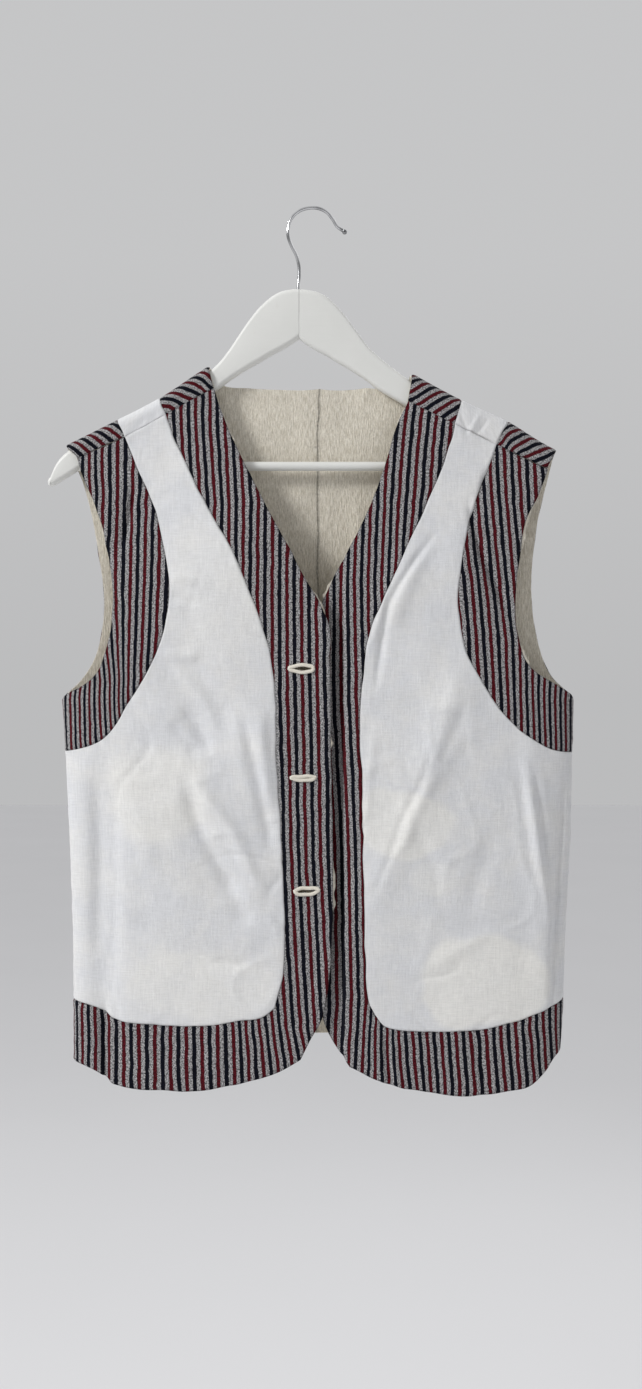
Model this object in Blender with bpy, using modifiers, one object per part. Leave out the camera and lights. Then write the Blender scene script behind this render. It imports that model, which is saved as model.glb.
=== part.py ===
"""A folk vest hung on a white wooden clothes hanger.

The vest is cut from plain white cotton with striped bands at the neck, front edges, hem and armholes, and
its back is lined with crinkled cream cloth. Sizes are in millimetres until a mesh is made, which is in
metres. The origin is the inner top of the hook, +Z is up, the fronts face -Y, and +X is the wearer's left.

Every cloth piece is drawn flat and then laid on one form. A flat point is (u, p): u is measured along the
cloth from the middle of the body towards the side seam, and p is the height, carried on over the crest.
"""

import math
from collections import namedtuple

import bpy
import numpy as np

MM = 0.001
FRONT, BACK = -1, 1

# Cloth, seams and layers
CLOTH_WALL = 1.2
LINING_WALL = 1.0
GAP = 0.3
CREST_RADIUS = 11.5  # of the fold over the hanger
CREST_EXTRA = (math.pi / 2 - 1) * CREST_RADIUS  # arc length that the fold adds to its height
SETTLE = 200.0  # distance below the crest over which the cloth leaves the hanger for the body's depth
ROUNDNESS = 2.6  # exponent of the body's oval section
SIDE = 400.0  # any x past the side means the side seam
SLOPE_STEP = 0.6  # each way along the cloth, to find which way it faces

# The body's sections, from the shoulders to the hem
Section = namedtuple("Section", "height centre half_width front_depth back_depth")
SECTIONS = (
    Section(-140, 6.5, 234, 22, 15),
    Section(-250, 6.5, 234, 26, 18),
    Section(-450, 6.5, 234, 32, 21),
    Section(-498, 7.4, 232, 33, 22),
    Section(-583, 8.4, 229, 34, 23),
    Section(-658, 7.5, 225.5, 34, 24),
    Section(-728, 6.9, 224, 34, 25),
    Section(-806, 4.6, 221.5, 34, 26),
)

# The crest of both shoulders, carried smoothly over the open neck: x, height
CREST = (
    (-224, -216.5),
    (-177, -193),
    (-137.5, -172.5),
    (-93.5, -144),
    (-60, -129),
    (0, -121),
    (60, -133),
    (92, -150.5),
    (137.5, -175),
    (180, -194.5),
    (210, -213),
    (225, -221),
)

# Large folds: out is how far the cloth stands out from the form there, and less than 0 is a trough
Fold = namedtuple("Fold", "side x0 z0 x1 z1 width out")
FOLDS = (
    Fold(FRONT, -130, -410, -72, -486, 22, -3.5),
    Fold(FRONT, -115, -548, -77, -624, 20, -4),
    Fold(FRONT, -61, -456, -39, -555, 15, 3),
    Fold(FRONT, -188, -500, -186, -800, 13, -6),
    Fold(FRONT, -163, -258, -171, -314, 11, -3),
    Fold(FRONT, 96, -312, 66, -385, 13, 3.5),
    Fold(FRONT, 140, -420, 98, -522, 16, 3),
    Fold(FRONT, 123, -482, 55, -634, 15, 3.5),
    Fold(FRONT, 199, -480, 216, -740, 13, 5),
    Fold(FRONT, 145, -287, 181, -378, 12, -3),
    Fold(BACK, -70, -270, -40, -520, 24, -4.5),
    Fold(BACK, 84, -300, 58, -570, 26, -4.5),
    Fold(BACK, -150, -430, -95, -610, 20, 3.5),
    Fold(BACK, 165, -455, 118, -650, 20, -4),
    Fold(BACK, 0, -570, 18, -770, 26, 4),
)

# The left front tucks in under the right one
TUCK_DEPTH = 11.0
TUCK_STARTS_X = 44.0  # level with the form here
TUCK_FULL_X = 22.0
TUCK_TOP = (-300.0, -395.0)  # from none to full, going down the neck edge
TUCK_HEM = (-640.0, -730.0)  # from full to TUCK_HEM_SHARE
TUCK_HEM_SHARE = 0.5

# Outlines, as x, height from the shoulder down. A corner between two curves is a shared name.
SHOULDER_SEAM = {  # on the front, from the armhole to the neck
    "right": ((-212.5, -229.5), (-169, -210), (-132, -189.5), (-88, -165)),
    "left": ((215.5, -239.5), (168.5, -217), (131, -199), (88, -177.5)),
}
FRONT_NECK = {
    "right": (
        (-77.5, -197.5), (-63, -229), (-48.5, -259), (-28, -297), (-8, -335.5), (9, -365.5),
        (16.5, -382),
    ),
    "left": ((79, -197.5), (70.5, -226.5), (59, -261.5), (48, -286), (33.5, -315), (21, -340), (5, -374)),
}
FRONT_EDGE = {
    "right": (
        (18, -396), (18, -450), (18, -519), (20, -590), (20.5, -629), (18, -683), (11, -733),
        (0, -755),
    ),
    "left": ((-1.5, -414), (-2.5, -519), (-1.5, -621), (0.5, -684), (11, -735), (23.5, -762.5)),
}
FRONT_CORNER = {"right": (-9.5, -772), "left": (35, -778)}
FRONT_HEM = {
    "right": (
        (-27.5, -783), (-63.5, -793), (-99.5, -800), (-144, -799.5), (-176, -796.5), (-193, -786),
        (-207, -781),
    ),
    "left": ((67, -793), (107, -801), (143, -804.5), (174.5, -802), (197, -798), (213, -786), (222, -774)),
}
HEM_AT_SIDE = {"right": -778.0, "left": -767.0}
BAND_SEAM = {  # between the front band and the white panel
    "right": (
        (-125, -210), (-108.5, -246), (-90.5, -280.5), (-72.5, -312.5), (-54.5, -354), (-40, -396),
        (-33, -432),
        (-30, -518), (-26, -580), (-23, -647.5), (-24, -692.5),
    ),
    "left": (
        (125, -221), (116, -246), (101, -281.5), (82, -322.5), (62, -365.5), (51.5, -396), (46.5, -432),
        (44.5, -477), (46, -540), (47.5, -604.5), (49, -674.5), (51.5, -719.5),
    ),
}
PANEL_CORNER = {"right": (-32, -725), "left": (57.5, -732)}
PANEL_FOOT = {
    "right": (
        (-44, -734), (-63.5, -737), (-90.5, -741), (-144.5, -741), (-173, -738), (-187, -731),
        (-201, -726),
    ),
    "left": ((67.5, -743), (89, -746.5), (143, -746.5), (179, -740), (210, -731), (221, -726)),
}
PANEL_FOOT_AT_SIDE = {"right": -722.0, "left": -720.0}
FRONT_ARMHOLE = {
    "right": (
        (-204.5, -254.5), (-192, -284.5), (-183, -322.5), (-178.5, -363.5), (-185.5, -406.5),
        (-197, -429),
    ),
    "left": ((206.5, -263.5), (195, -288), (189.5, -316.5), (185, -359), (187.5, -395.5), (197, -418.5)),
}
FRONT_ARM_SEAM = {  # between the armhole band and the white panel
    "right": (
        (-154.5, -246), (-141, -278.5), (-132.5, -313), (-128, -350.5), (-133.5, -391.5), (-145.5, -420.5),
        (-163.5, -450), (-181.5, -477), (-201, -491),
    ),
    "left": (
        (155.5, -251.5), (145.5, -280.5), (139.5, -310), (133, -355.5), (138.5, -403), (153, -432),
        (171, -459),
        (198, -483.5), (220, -495),
    ),
}
UNDERARM = {"right": -450.0, "left": -450.0}
ARM_SEAM_AT_SIDE = {"right": -497.0, "left": -497.5}

# The same curves on the back, after they cross the crest
CREST_CROSSINGS = {  # armhole edge, armhole seam, neck seam, neck edge
    "right": (-224.0, -177.0, -137.5, -93.5),
    "left": (224.5, 180.0, 137.5, 92.0),
}
BACK_NECK = {
    "right": ((-82.5, -159), (-56.5, -162.5), (-10, -164.5)),
    "left": ((87, -162), (59, -162.5), (27, -164.5)),
}
BACK_NECK_SEAM = {
    "right": ((-127, -196), (-107, -208), (-70, -214), (-30, -216)),
    "left": ((131, -199), (115, -210), (80, -215), (42, -216)),
}
BACK_ARMHOLE = {
    "right": ((-212, -245), (-204.5, -270), (-196, -316), (-191.5, -366), (-199, -408.5), (-213, -432)),
    "left": ((219, -243), (213.5, -265), (208, -293), (203.5, -348.5), (209, -394.5), (222, -428)),
}
BACK_ARM_SEAM = {
    "right": (
        (-160, -235), (-148, -275), (-138, -330), (-142, -392), (-158, -434), (-182, -468),
        (-206, -489),
    ),
    "left": ((166, -240), (155, -280), (145, -340), (150, -395), (165, -434), (190, -470), (218, -490)),
}
BACK_FOOT = {
    "right": ((-200, -715), (-120, -704), (-50, -700)),
    "left": ((208, -712), (130, -702), (60, -699.5)),
}
BACK_HEM = {
    "right": ((-200, -773), (-120, -764), (-50, -760.5)),
    "left": ((208, -765.5), (130, -762), (60, -760)),
}
CENTRE_BACK = {"neck": -164.5, "neck seam": -216.0, "foot": -699.0, "hem": -760.0}

# How many steps each piece has
BAND_ROWS = 25
ARM_ROWS = 13
PANEL_COLUMNS = 9
BAND_COLUMNS = 3
UNDERARM_SHARE = 0.71  # the first ARM_ROWS rows take this share of a front's length
FRONT_EASE = 1.35  # how much closer those rows come towards the underarm
CREST_ROWS = 8  # fine steps where a back piece crosses the crest
CREST_STEP = 6.3
SIDE_STEP = 7.0  # fine steps where the cloth turns at the side seam
BACK_NECK_ROWS = 13
BACK_ARM_ROWS = 19
BACK_SIDE_ROWS = 8
BACK_WAIST = -600.0  # at the centre back, where the underarm's row ends
BACK_EASE = 2.0
HEM_COLUMNS = 3

# Buttonholes on the right front, and the buttons hidden under it on the left one
Buttonhole = namedtuple("Buttonhole", "name x z tilt")
BUTTONHOLES = (
    Buttonhole("top", -8.5, -421.5, 0),
    Buttonhole("middle", -7, -519.5, 0),
    Buttonhole("bottom", -3.5, -620.5, 4),
)
HOLE_LENGTH, HOLE_HEIGHT = 24.5, 9.5
CORD_WIDTH, CORD_THICK = 4.0, 2.2
SLIT_LENGTH, SLIT_HEIGHT, SLIT_DEPTH = 16.5, 1.4, 7.0
HOLE_STEPS, CORD_SIDES = 20, 6
BUTTON_X = 7.0
BUTTON_LIFT = 0.6
BUTTON_RADIUS, BUTTON_THICK, BUTTON_EDGE = 9.0, 2.4, 0.7

# The hanger
HANGER_X = -10.9  # its middle, where the two halves meet
HANGER_THICK = 12.0
HANGER_ROUNDING = 5.0
HANGER_SEAM = 0.15  # each half stops this far from the middle
ArmSection = namedtuple("ArmSection", "out top_right top_left under")
ARM_SECTIONS = (  # out is the distance from the middle
    ArmSection(0, -73.3, -73.6, -119),
    ArmSection(8, -73.8, -74.2, -124.5),
    ArmSection(17.5, -76.1, -76.2, -130),
    ArmSection(27, -81.8, -81.2, -135),
    ArmSection(36, -90, -89.5, -140.5),
    ArmSection(45, -101, -100.5, -145.5),
    ArmSection(54, -114, -113.5, -151),
    ArmSection(64, -129, -129, -157.5),
    ArmSection(74, -141.5, -136, -165),
    ArmSection(85, -151, -144.5, -171.5),
    ArmSection(100, -159.5, -154.5, -180),
    ArmSection(125, -175.5, -172.5, -194),
    ArmSection(150, -189.5, -189, -208.5),
    ArmSection(180, -204, -204, -226),
    ArmSection(200, -214.5, -214.5, -238),
    ArmSection(211, -221.5, -221.5, -245),
    ArmSection(219, -229, -229, -250),
    ArmSection(224, -237, -237, -253),
    ArmSection(227.5, -246, -246, -254),
)
RIGHT_ARM_REACH, LEFT_ARM_REACH = 1.0, 0.975
BAR_Z = -235.5
BAR_RADIUS = 4.2
BAR_OUT = 203.0  # each end, from the middle, let into the arm
BAR_SOCKET = 0.3
WIRE_RADIUS = 1.5
WIRE_TIP_RADIUS = 2.3
HOOK_LINE = (
    (-11.7, -93), (-11.7, -82), (-11.7, -72), (-10.8, -61), (-11, -52), (-13.5, -42), (-18, -33),
    (-21, -24),
    (-20.5, -15.5), (-17, -7), (-10, -1), (-1, 1.5), (7, 1), (14.5, -2.5), (20, -9), (24, -15.5),
    (29.5, -19.5),
)

# Colours and finishes: colour, roughness, metallic
WHITE_COTTON = ((0.74, 0.745, 0.755), 0.9, 0.0)
STRIPED_COTTON = ((0.20, 0.17, 0.21), 0.9, 0.0)
CREAM_LINING = ((0.63, 0.58, 0.49), 0.95, 0.0)
CREAM_CORD = ((0.72, 0.66, 0.55), 0.8, 0.0)
BUTTON_PLASTIC = ((0.80, 0.78, 0.72), 0.35, 0.0)
PAINTED_WOOD = ((0.80, 0.80, 0.78), 0.45, 0.0)
CHROME = ((0.62, 0.63, 0.64), 0.2, 1.0)


# Curves


def dense(points, steps=24):
    """A smooth line through the points: a centripetal Catmull-Rom spline, with this many steps a span."""
    points = np.array(points, float)
    before, after = 2 * points[0] - points[1], 2 * points[-1] - points[-2]
    p = np.vstack([before, points, after])
    knots = np.concatenate([[0], np.cumsum(np.sqrt(np.linalg.norm(np.diff(p, axis=0), axis=1)))])
    line = []
    for i in range(1, len(p) - 2):
        t = np.linspace(knots[i], knots[i + 1], steps, endpoint=False)[:, None]
        k = knots[i - 1 : i + 3]
        a = [((k[j + 1] - t) * p[i - 1 + j] + (t - k[j]) * p[i + j]) / (k[j + 1] - k[j]) for j in range(3)]
        b = [((k[j + 2] - t) * a[j] + (t - k[j]) * a[j + 1]) / (k[j + 2] - k[j]) for j in range(2)]
        line.append(((k[2] - t) * b[0] + (t - k[1]) * b[1]) / (k[2] - k[1]))
    return np.vstack(line + [p[-2:-1]])


def at_shares(line, shares):
    """Points of a line at these shares of its length."""
    length = np.concatenate([[0], np.cumsum(np.linalg.norm(np.diff(line, axis=0), axis=1))])
    places = np.asarray(shares) * length[-1]
    return np.stack([np.interp(places, length, line[:, k]) for k in range(line.shape[1])], axis=1)


def shares(count, length=1.0, fine=0, step=0.0, fine_end=0, end_step=0.0):
    """Shares of a length, with some fine steps of a real size at the start and the end."""
    head = np.arange(fine) * step / length
    tail = 1 - np.arange(fine_end)[::-1] * end_step / length
    start, end = fine * step / length, 1 - fine_end * end_step / length
    middle = np.linspace(start, end, count + 1 - fine - fine_end)
    return np.concatenate([head, middle, tail])


def eased(count, power):
    """Shares from 0 to 1 whose steps get shorter: one less a power of what is left."""
    return 1 - (1 - np.linspace(0, 1, count + 1)) ** power


def length_of(line):
    return np.linalg.norm(np.diff(line, axis=0), axis=1).sum()


def smoothstep(t):
    t = np.clip(t, 0, 1)
    return t * t * (3 - 2 * t)


# The form that the cloth lies on

SECTION_TABLE = np.array(SECTIONS, float)[::-1].T
CREST_LINE = dense(CREST).T
TURN = np.linspace(0, math.pi / 2, 600)
OVAL_X = np.sin(TURN) ** (2 / ROUNDNESS)
OVAL_Y = np.cos(TURN) ** (2 / ROUNDNESS)
OVAL_STEPS = np.hypot(np.diff(OVAL_X) * 230, np.diff(OVAL_Y) * 34)
OVAL_LENGTH = np.concatenate([[0], np.cumsum(OVAL_STEPS)])
ARC = OVAL_LENGTH[-1]  # from the middle to the side seam, along the cloth


def section(column, height):
    return np.interp(height, SECTION_TABLE[0], SECTION_TABLE[Section._fields.index(column)])


def crest(x):
    return np.interp(x, CREST_LINE[0], CREST_LINE[1])


def fold_out(side, x, z):
    """How far the folds stand out: each is a bell across its line, faded along it towards both ends."""
    out = np.zeros(np.broadcast(x, z).shape)
    for fold in FOLDS:
        dx, dz = fold.x1 - fold.x0, fold.z1 - fold.z0
        along = ((x - fold.x0) * dx + (z - fold.z0) * dz) / (dx * dx + dz * dz)
        across = ((x - fold.x0) * dz - (z - fold.z0) * dx) / math.hypot(dx, dz)
        fade = smoothstep((along + 0.15) / 0.4) * smoothstep((1.15 - along) / 0.4)
        out += np.where(side == fold.side, fold.out * fade * np.exp(-((across / fold.width) ** 2)), 0)
    return out


def tuck(x, z):
    """How far the left front's edge lies back from the form."""
    in_x = smoothstep((TUCK_STARTS_X - x) / (TUCK_STARTS_X - TUCK_FULL_X))
    down = smoothstep((TUCK_TOP[0] - z) / (TUCK_TOP[0] - TUCK_TOP[1]))
    foot = 1 - (1 - TUCK_HEM_SHARE) * smoothstep((TUCK_HEM[0] - z) / (TUCK_HEM[0] - TUCK_HEM[1]))
    return TUCK_DEPTH * in_x * down * foot


def place(side, flat, tucked=False):
    """Lays flat points (u, p) of the front or back on the form.

    Across, the cloth follows the body's oval section at that height and turns on to the other side past the
    side seam. Near the crest it follows a quarter circle over the hanger, and a back piece turns on to the
    front there. Below, its depth grows smoothly from the hanger's to the section's.
    """
    u, p = flat[..., 0], flat[..., 1]
    share = np.abs(u) / ARC
    side = np.where(share > 1, -side, side)
    run = np.where(share > 1, 2 - share, share) * ARC
    x = section("centre", p) + section("half_width", p) * np.sign(u) * np.interp(run, OVAL_LENGTH, OVAL_X)
    top = crest(x)
    below = top + CREST_EXTRA - p
    side = np.where(below < 0, -side, side)
    below = np.abs(below)
    turn = np.clip(below / CREST_RADIUS, 0, math.pi / 2)
    quarter = CREST_RADIUS * math.pi / 2
    z = np.where(below < quarter, top - CREST_RADIUS * (1 - np.cos(turn)), top + CREST_EXTRA - below)
    settled = smoothstep((below - quarter) / SETTLE)
    oval = np.interp(run, OVAL_LENGTH, OVAL_Y)
    body = oval * np.where(side == FRONT, section("front_depth", p), section("back_depth", p))
    depth = CREST_RADIUS * np.sin(turn) * (1 - settled) + body * settled
    depth = depth + fold_out(side, x, z) * np.sqrt(oval)
    if tucked:
        depth = depth - tuck(x, z)
    return np.stack([x, side * depth, z], axis=-1)


def outward(side, flat, tucked=False):
    """Unit vectors out of the cloth, from small steps along u and p."""
    across = place(side, flat + [SLOPE_STEP, 0], tucked) - place(side, flat - [SLOPE_STEP, 0], tucked)
    up = place(side, flat + [0, SLOPE_STEP], tucked) - place(side, flat - [0, SLOPE_STEP], tucked)
    normal = -side * np.cross(across, up)
    return normal / np.linalg.norm(normal, axis=-1, keepdims=True)


def flat_of(points):
    """Flat points from x and height as seen from the front or back."""
    x, z = np.array(points, float).T
    drop = np.clip(crest(x) - z, 0, None)
    turned = CREST_RADIUS * np.arccos(np.clip(1 - drop / CREST_RADIUS, -1, 1))
    below = np.where(drop < CREST_RADIUS, turned, drop + CREST_EXTRA)
    p = crest(x) + CREST_EXTRA - below
    oval = np.clip(np.abs(x - section("centre", p)) / section("half_width", p), 0, 1)
    u = np.sign(x - section("centre", p)) * np.interp(oval, OVAL_X, OVAL_LENGTH)
    return np.stack([u, p], axis=1)


def over_crest(flat):
    """The same points of the front as flat points of the back, carried over the crest."""
    x = place(FRONT, flat)[..., 0]
    return np.stack([flat[..., 0], 2 * (crest(x) + CREST_EXTRA) - flat[..., 1]], axis=-1)


# Patches and walls


def ruled(start, end, count):
    return start + (end - start) * np.linspace(0, 1, count + 1)[:, None]


def patch(first, last, start, end, across=None):
    """A grid filled in between four borders. first and last run along it, start and end across it."""
    rows, columns = len(first), len(start)
    s = np.linspace(0, 1, rows)[:, None, None]
    t = (np.linspace(0, 1, columns) if across is None else across)[None, :, None]
    along = (1 - t) * first[:, None] + t * last[:, None]
    ends = (1 - s) * start[None] + s * end[None]
    corners = (1 - s) * ((1 - t) * first[0] + t * last[0]) + s * ((1 - t) * first[-1] + t * last[-1])
    return along + ends - corners


def joined(patches):
    """The patches' points, each once, and their quads, all turned the same way in the flat."""
    points, quads, offset = [], [], 0
    for grid in patches:
        rows, columns = grid.shape[:2]
        index = offset + np.arange(rows * columns).reshape(rows, columns)
        corner = [index[:-1, :-1], index[1:, :-1], index[1:, 1:], index[:-1, 1:]]
        faces = np.stack([c.ravel() for c in corner], axis=1)
        flat = grid.reshape(-1, 2)
        one, two = (flat[faces[:, k] - offset] - flat[faces[:, 0] - offset] for k in (1, 3))
        if (one[:, 0] * two[:, 1] - one[:, 1] * two[:, 0]).sum() < 0:
            faces = faces[:, [0, 3, 2, 1]]
        points.append(flat)
        quads.append(faces)
        offset += rows * columns
    points = np.vstack(points)
    _, kept, index = np.unique(np.round(points, 3), axis=0, return_index=True, return_inverse=True)
    return points[kept], index.reshape(-1)[np.vstack(quads)]


def border_edges(quads):
    """The edges that one quad uses, in that quad's direction."""
    edges = np.vstack([quads[:, [k, (k + 1) % 4]] for k in range(4)])
    present = {tuple(edge) for edge in edges}
    return np.array([edge for edge in edges if (edge[1], edge[0]) not in present])


def drawn_in(points, quads, distance):
    """The flat points with every border moved in by the distance, mitred where two edges meet."""
    edges = border_edges(quads)
    run = points[edges[:, 1]] - points[edges[:, 0]]
    inward = np.stack([-run[:, 1], run[:, 0]], axis=1) / np.linalg.norm(run, axis=1, keepdims=True)
    after, before = np.zeros_like(points), np.zeros_like(points)
    after[edges[:, 0]] = inward
    before[edges[:, 1]] = inward
    share = 1 + (after * before).sum(axis=1, keepdims=True)
    return points + distance * (after + before) / np.maximum(share, 0.5)


def cloth(name, patches, side, finish, wall=CLOTH_WALL, under=0.0, tucked=False):
    """One cloth piece: its outer face on the form, or that far under it, and its inner face a wall in."""
    points, quads = joined(patches)
    flat = drawn_in(points, quads, GAP / 2)
    normal = outward(side, flat, tucked)
    outer = place(side, flat, tucked) - normal * under
    inner = outer - normal * wall
    count = len(flat)
    if side == BACK:
        quads = quads[:, [0, 3, 2, 1]]
    edges = border_edges(quads)
    rim = np.stack([edges[:, 1], edges[:, 0], edges[:, 0] + count, edges[:, 1] + count], axis=1)
    faces = np.vstack([quads, quads[:, [0, 3, 2, 1]] + count, rim])
    return solid(name, np.vstack([outer, inner]), faces.tolist(), finish)


# Objects


def material(name, finish):
    colour, roughness, metallic = finish
    made = bpy.data.materials.new(name)
    made.use_nodes = True
    shader = made.node_tree.nodes["Principled BSDF"]
    shader.inputs["Base Color"].default_value = (*colour, 1)
    shader.inputs["Roughness"].default_value = roughness
    shader.inputs["Metallic"].default_value = metallic
    return made


def solid(name, points, faces, finish):
    """An object from points in millimetres."""
    mesh = bpy.data.meshes.new(name)
    mesh.from_pydata((np.asarray(points) * MM).tolist(), [], faces)
    mesh.validate()
    mesh.shade_smooth()
    made = bpy.data.objects.new(name, mesh)
    mesh.materials.append(material(name, finish))
    bpy.data.collections["vest_on_hanger"].objects.link(made)
    return made


def finished(made, name, finish, collection="vest_on_hanger"):
    """Names an object that a primitive made, and moves it to its collection."""
    made.name = made.data.name = name
    made.data.materials.clear()
    made.data.materials.append(material(name, finish))
    for old in list(made.users_collection):
        old.objects.unlink(made)
    bpy.data.collections[collection].objects.link(made)
    return made


def cut(made, cutter):
    """Cuts the cutter's shape out of an object."""
    cutter.hide_render = True
    cutter.display_type = "WIRE"
    modifier = made.modifiers.new(cutter.name, "BOOLEAN")
    modifier.object = cutter
    modifier.solver = "EXACT"


def rod(name, centre, radius, length, turned, finish, collection="vest_on_hanger", sides=20):
    place_m = np.array(centre) * MM
    bpy.ops.mesh.primitive_cylinder_add(
        vertices=sides, radius=radius * MM, depth=length * MM, location=place_m, rotation=turned
    )
    return finished(bpy.context.object, name, finish, collection)


# The vest's flat pieces


def front_pieces(hand):
    """Flat grids of one front: its band, white panel and armhole band."""
    seam = flat_of(SHOULDER_SEAM[hand])
    sign = -1 if hand == "right" else 1
    side_foot = (sign * SIDE, PANEL_FOOT_AT_SIDE[hand])
    edge = (SHOULDER_SEAM[hand][3], *FRONT_NECK[hand], *FRONT_EDGE[hand], FRONT_CORNER[hand])
    neck_and_edge = dense(flat_of(edge))
    band_seam = dense(flat_of((SHOULDER_SEAM[hand][2], *BAND_SEAM[hand], PANEL_CORNER[hand])))
    foot = dense(flat_of((PANEL_CORNER[hand], *PANEL_FOOT[hand], side_foot)))
    hem = dense(flat_of((FRONT_CORNER[hand], *FRONT_HEM[hand], (sign * SIDE, HEM_AT_SIDE[hand]))))
    armhole = dense(flat_of((SHOULDER_SEAM[hand][0], *FRONT_ARMHOLE[hand], (sign * SIDE, UNDERARM[hand]))))
    arm_seam_end = (sign * SIDE, ARM_SEAM_AT_SIDE[hand])
    arm_seam = dense(flat_of((SHOULDER_SEAM[hand][1], *FRONT_ARM_SEAM[hand], arm_seam_end)))

    columns = shares(PANEL_COLUMNS, length_of(foot), fine_end=3, end_step=SIDE_STEP)
    foot_points = at_shares(foot, columns)
    upper = UNDERARM_SHARE * eased(ARM_ROWS, FRONT_EASE)
    rows = np.concatenate([upper, np.linspace(UNDERARM_SHARE, 1, BAND_ROWS - ARM_ROWS + 1)[1:]])
    band_points = at_shares(band_seam, rows)
    band = patch(
        np.vstack([at_shares(neck_and_edge, rows), at_shares(hem, columns)[1:]]),
        np.vstack([band_points, foot_points[1:]]),
        ruled(seam[3], seam[2], BAND_COLUMNS),
        ruled(hem[-1], foot[-1], BAND_COLUMNS),
    )

    def arm_rows(line):
        return at_shares(line, shares(ARM_ROWS, length_of(line), fine_end=3, end_step=SIDE_STEP))

    arm_points = arm_rows(arm_seam)
    arm = patch(
        arm_rows(armhole),
        arm_points,
        ruled(seam[0], seam[1], BAND_COLUMNS),
        ruled(armhole[-1], arm_seam[-1], BAND_COLUMNS),
    )
    side_seam = ruled(arm_seam[-1], foot[-1], BAND_ROWS - ARM_ROWS)
    panel_top = seam[2] + (seam[1] - seam[2]) * columns[:, None]
    panel = patch(band_points, np.vstack([arm_points, side_seam[1:]]), panel_top, foot_points, columns)
    return {"band": band, "panel": panel, "armhole": arm}


def back_pieces(hand):
    """Flat grids of half the back, each from the front shoulder seam over the crest and down."""
    sign = -1 if hand == "right" else 1
    seam = flat_of(SHOULDER_SEAM[hand])
    crossings = flat_of([(x, crest(x)) for x in CREST_CROSSINGS[hand]])

    def crossing_line(index, points, end):
        return dense(np.vstack([over_crest(seam[index]), crossings[index], flat_of(points), end]))

    def centre(name):
        return np.array([0.0, CENTRE_BACK[name]])

    def at_side(height):
        return flat_of([(sign * SIDE, height)])[0]

    neck_edge = crossing_line(3, BACK_NECK[hand], centre("neck"))
    neck_seam = crossing_line(2, BACK_NECK_SEAM[hand], centre("neck seam"))
    armhole = crossing_line(0, BACK_ARMHOLE[hand], at_side(UNDERARM[hand]))
    arm_seam = crossing_line(1, BACK_ARM_SEAM[hand], at_side(ARM_SEAM_AT_SIDE[hand]))
    foot = dense(np.vstack([at_side(PANEL_FOOT_AT_SIDE[hand]), flat_of(BACK_FOOT[hand]), centre("foot")]))
    hem = dense(np.vstack([at_side(HEM_AT_SIDE[hand]), flat_of(BACK_HEM[hand]), centre("hem")]))

    def neck_rows(line):
        return at_shares(line, shares(BACK_NECK_ROWS, length_of(line), CREST_ROWS, CREST_STEP))

    def arm_rows(line):
        return at_shares(line, shares(BACK_ARM_ROWS, length_of(line), CREST_ROWS, CREST_STEP, 3, SIDE_STEP))

    columns = shares(PANEL_COLUMNS, length_of(foot), fine=3, step=SIDE_STEP)
    neck_points, arm_points = neck_rows(neck_seam), arm_rows(arm_seam)
    foot_points = at_shares(foot, columns)
    panel_top = over_crest(seam[1] + (seam[2] - seam[1]) * columns[:, None])
    neck_top = over_crest(ruled(seam[3], seam[2], BAND_COLUMNS))
    arm_top = over_crest(ruled(seam[0], seam[1], BAND_COLUMNS))
    neck_foot = ruled(centre("neck"), centre("neck seam"), BAND_COLUMNS)
    arm_foot = ruled(armhole[-1], arm_seam[-1], BAND_COLUMNS)
    side_seam = ruled(arm_seam[-1], foot[0], BACK_SIDE_ROWS)
    waist = np.array([0.0, BACK_WAIST])
    middle_rows = eased(BACK_ARM_ROWS - BACK_NECK_ROWS, BACK_EASE)
    middle = centre("neck seam") + (waist - centre("neck seam")) * middle_rows[:, None]
    below = ruled(waist, centre("foot"), BACK_SIDE_ROWS)
    outer_border = np.vstack([arm_points, side_seam[1:]])
    inner_border = np.vstack([neck_points, middle[1:], below[1:]])
    return {
        "neck": patch(neck_rows(neck_edge), neck_points, neck_top, neck_foot),
        "armhole": patch(arm_rows(armhole), arm_points, arm_top, arm_foot),
        "panel": patch(outer_border, inner_border, panel_top, foot_points, columns),
        "hem": patch(
            at_shares(hem, columns),
            foot_points,
            ruled(hem[0], foot[0], HEM_COLUMNS),
            ruled(hem[-1], foot[-1], HEM_COLUMNS),
        ),
    }


def vest():
    for hand in ("right", "left"):
        for piece, grid in front_pieces(hand).items():
            finish = WHITE_COTTON if piece == "panel" else STRIPED_COTTON
            cloth(f"front_{hand}_{piece}", [grid], FRONT, finish, tucked=hand == "left")
    backs = {hand: back_pieces(hand) for hand in ("right", "left")}
    for piece, finish in (("panel", WHITE_COTTON), ("neck", STRIPED_COTTON), ("hem", STRIPED_COTTON)):
        cloth(f"back_{piece}", [backs["right"][piece], backs["left"][piece]], BACK, finish)
    for hand, grids in backs.items():
        cloth(f"back_{hand}_armhole", [grids["armhole"]], BACK, STRIPED_COTTON)
        cloth(f"lining_{hand}", list(grids.values()), BACK, CREAM_LINING, LINING_WALL, CLOTH_WALL + GAP)


# Buttonholes and buttons


def front_spot(x, z, tucked):
    """A point on a front's outer face, and the frame there: across, up and out."""
    flat = flat_of([(x, z)])
    point, out = place(FRONT, flat, tucked)[0], outward(FRONT, flat, tucked)[0]
    across = np.cross(out, [0, 0, 1])
    across /= np.linalg.norm(across)
    return point, across, np.cross(out, across), out


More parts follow.
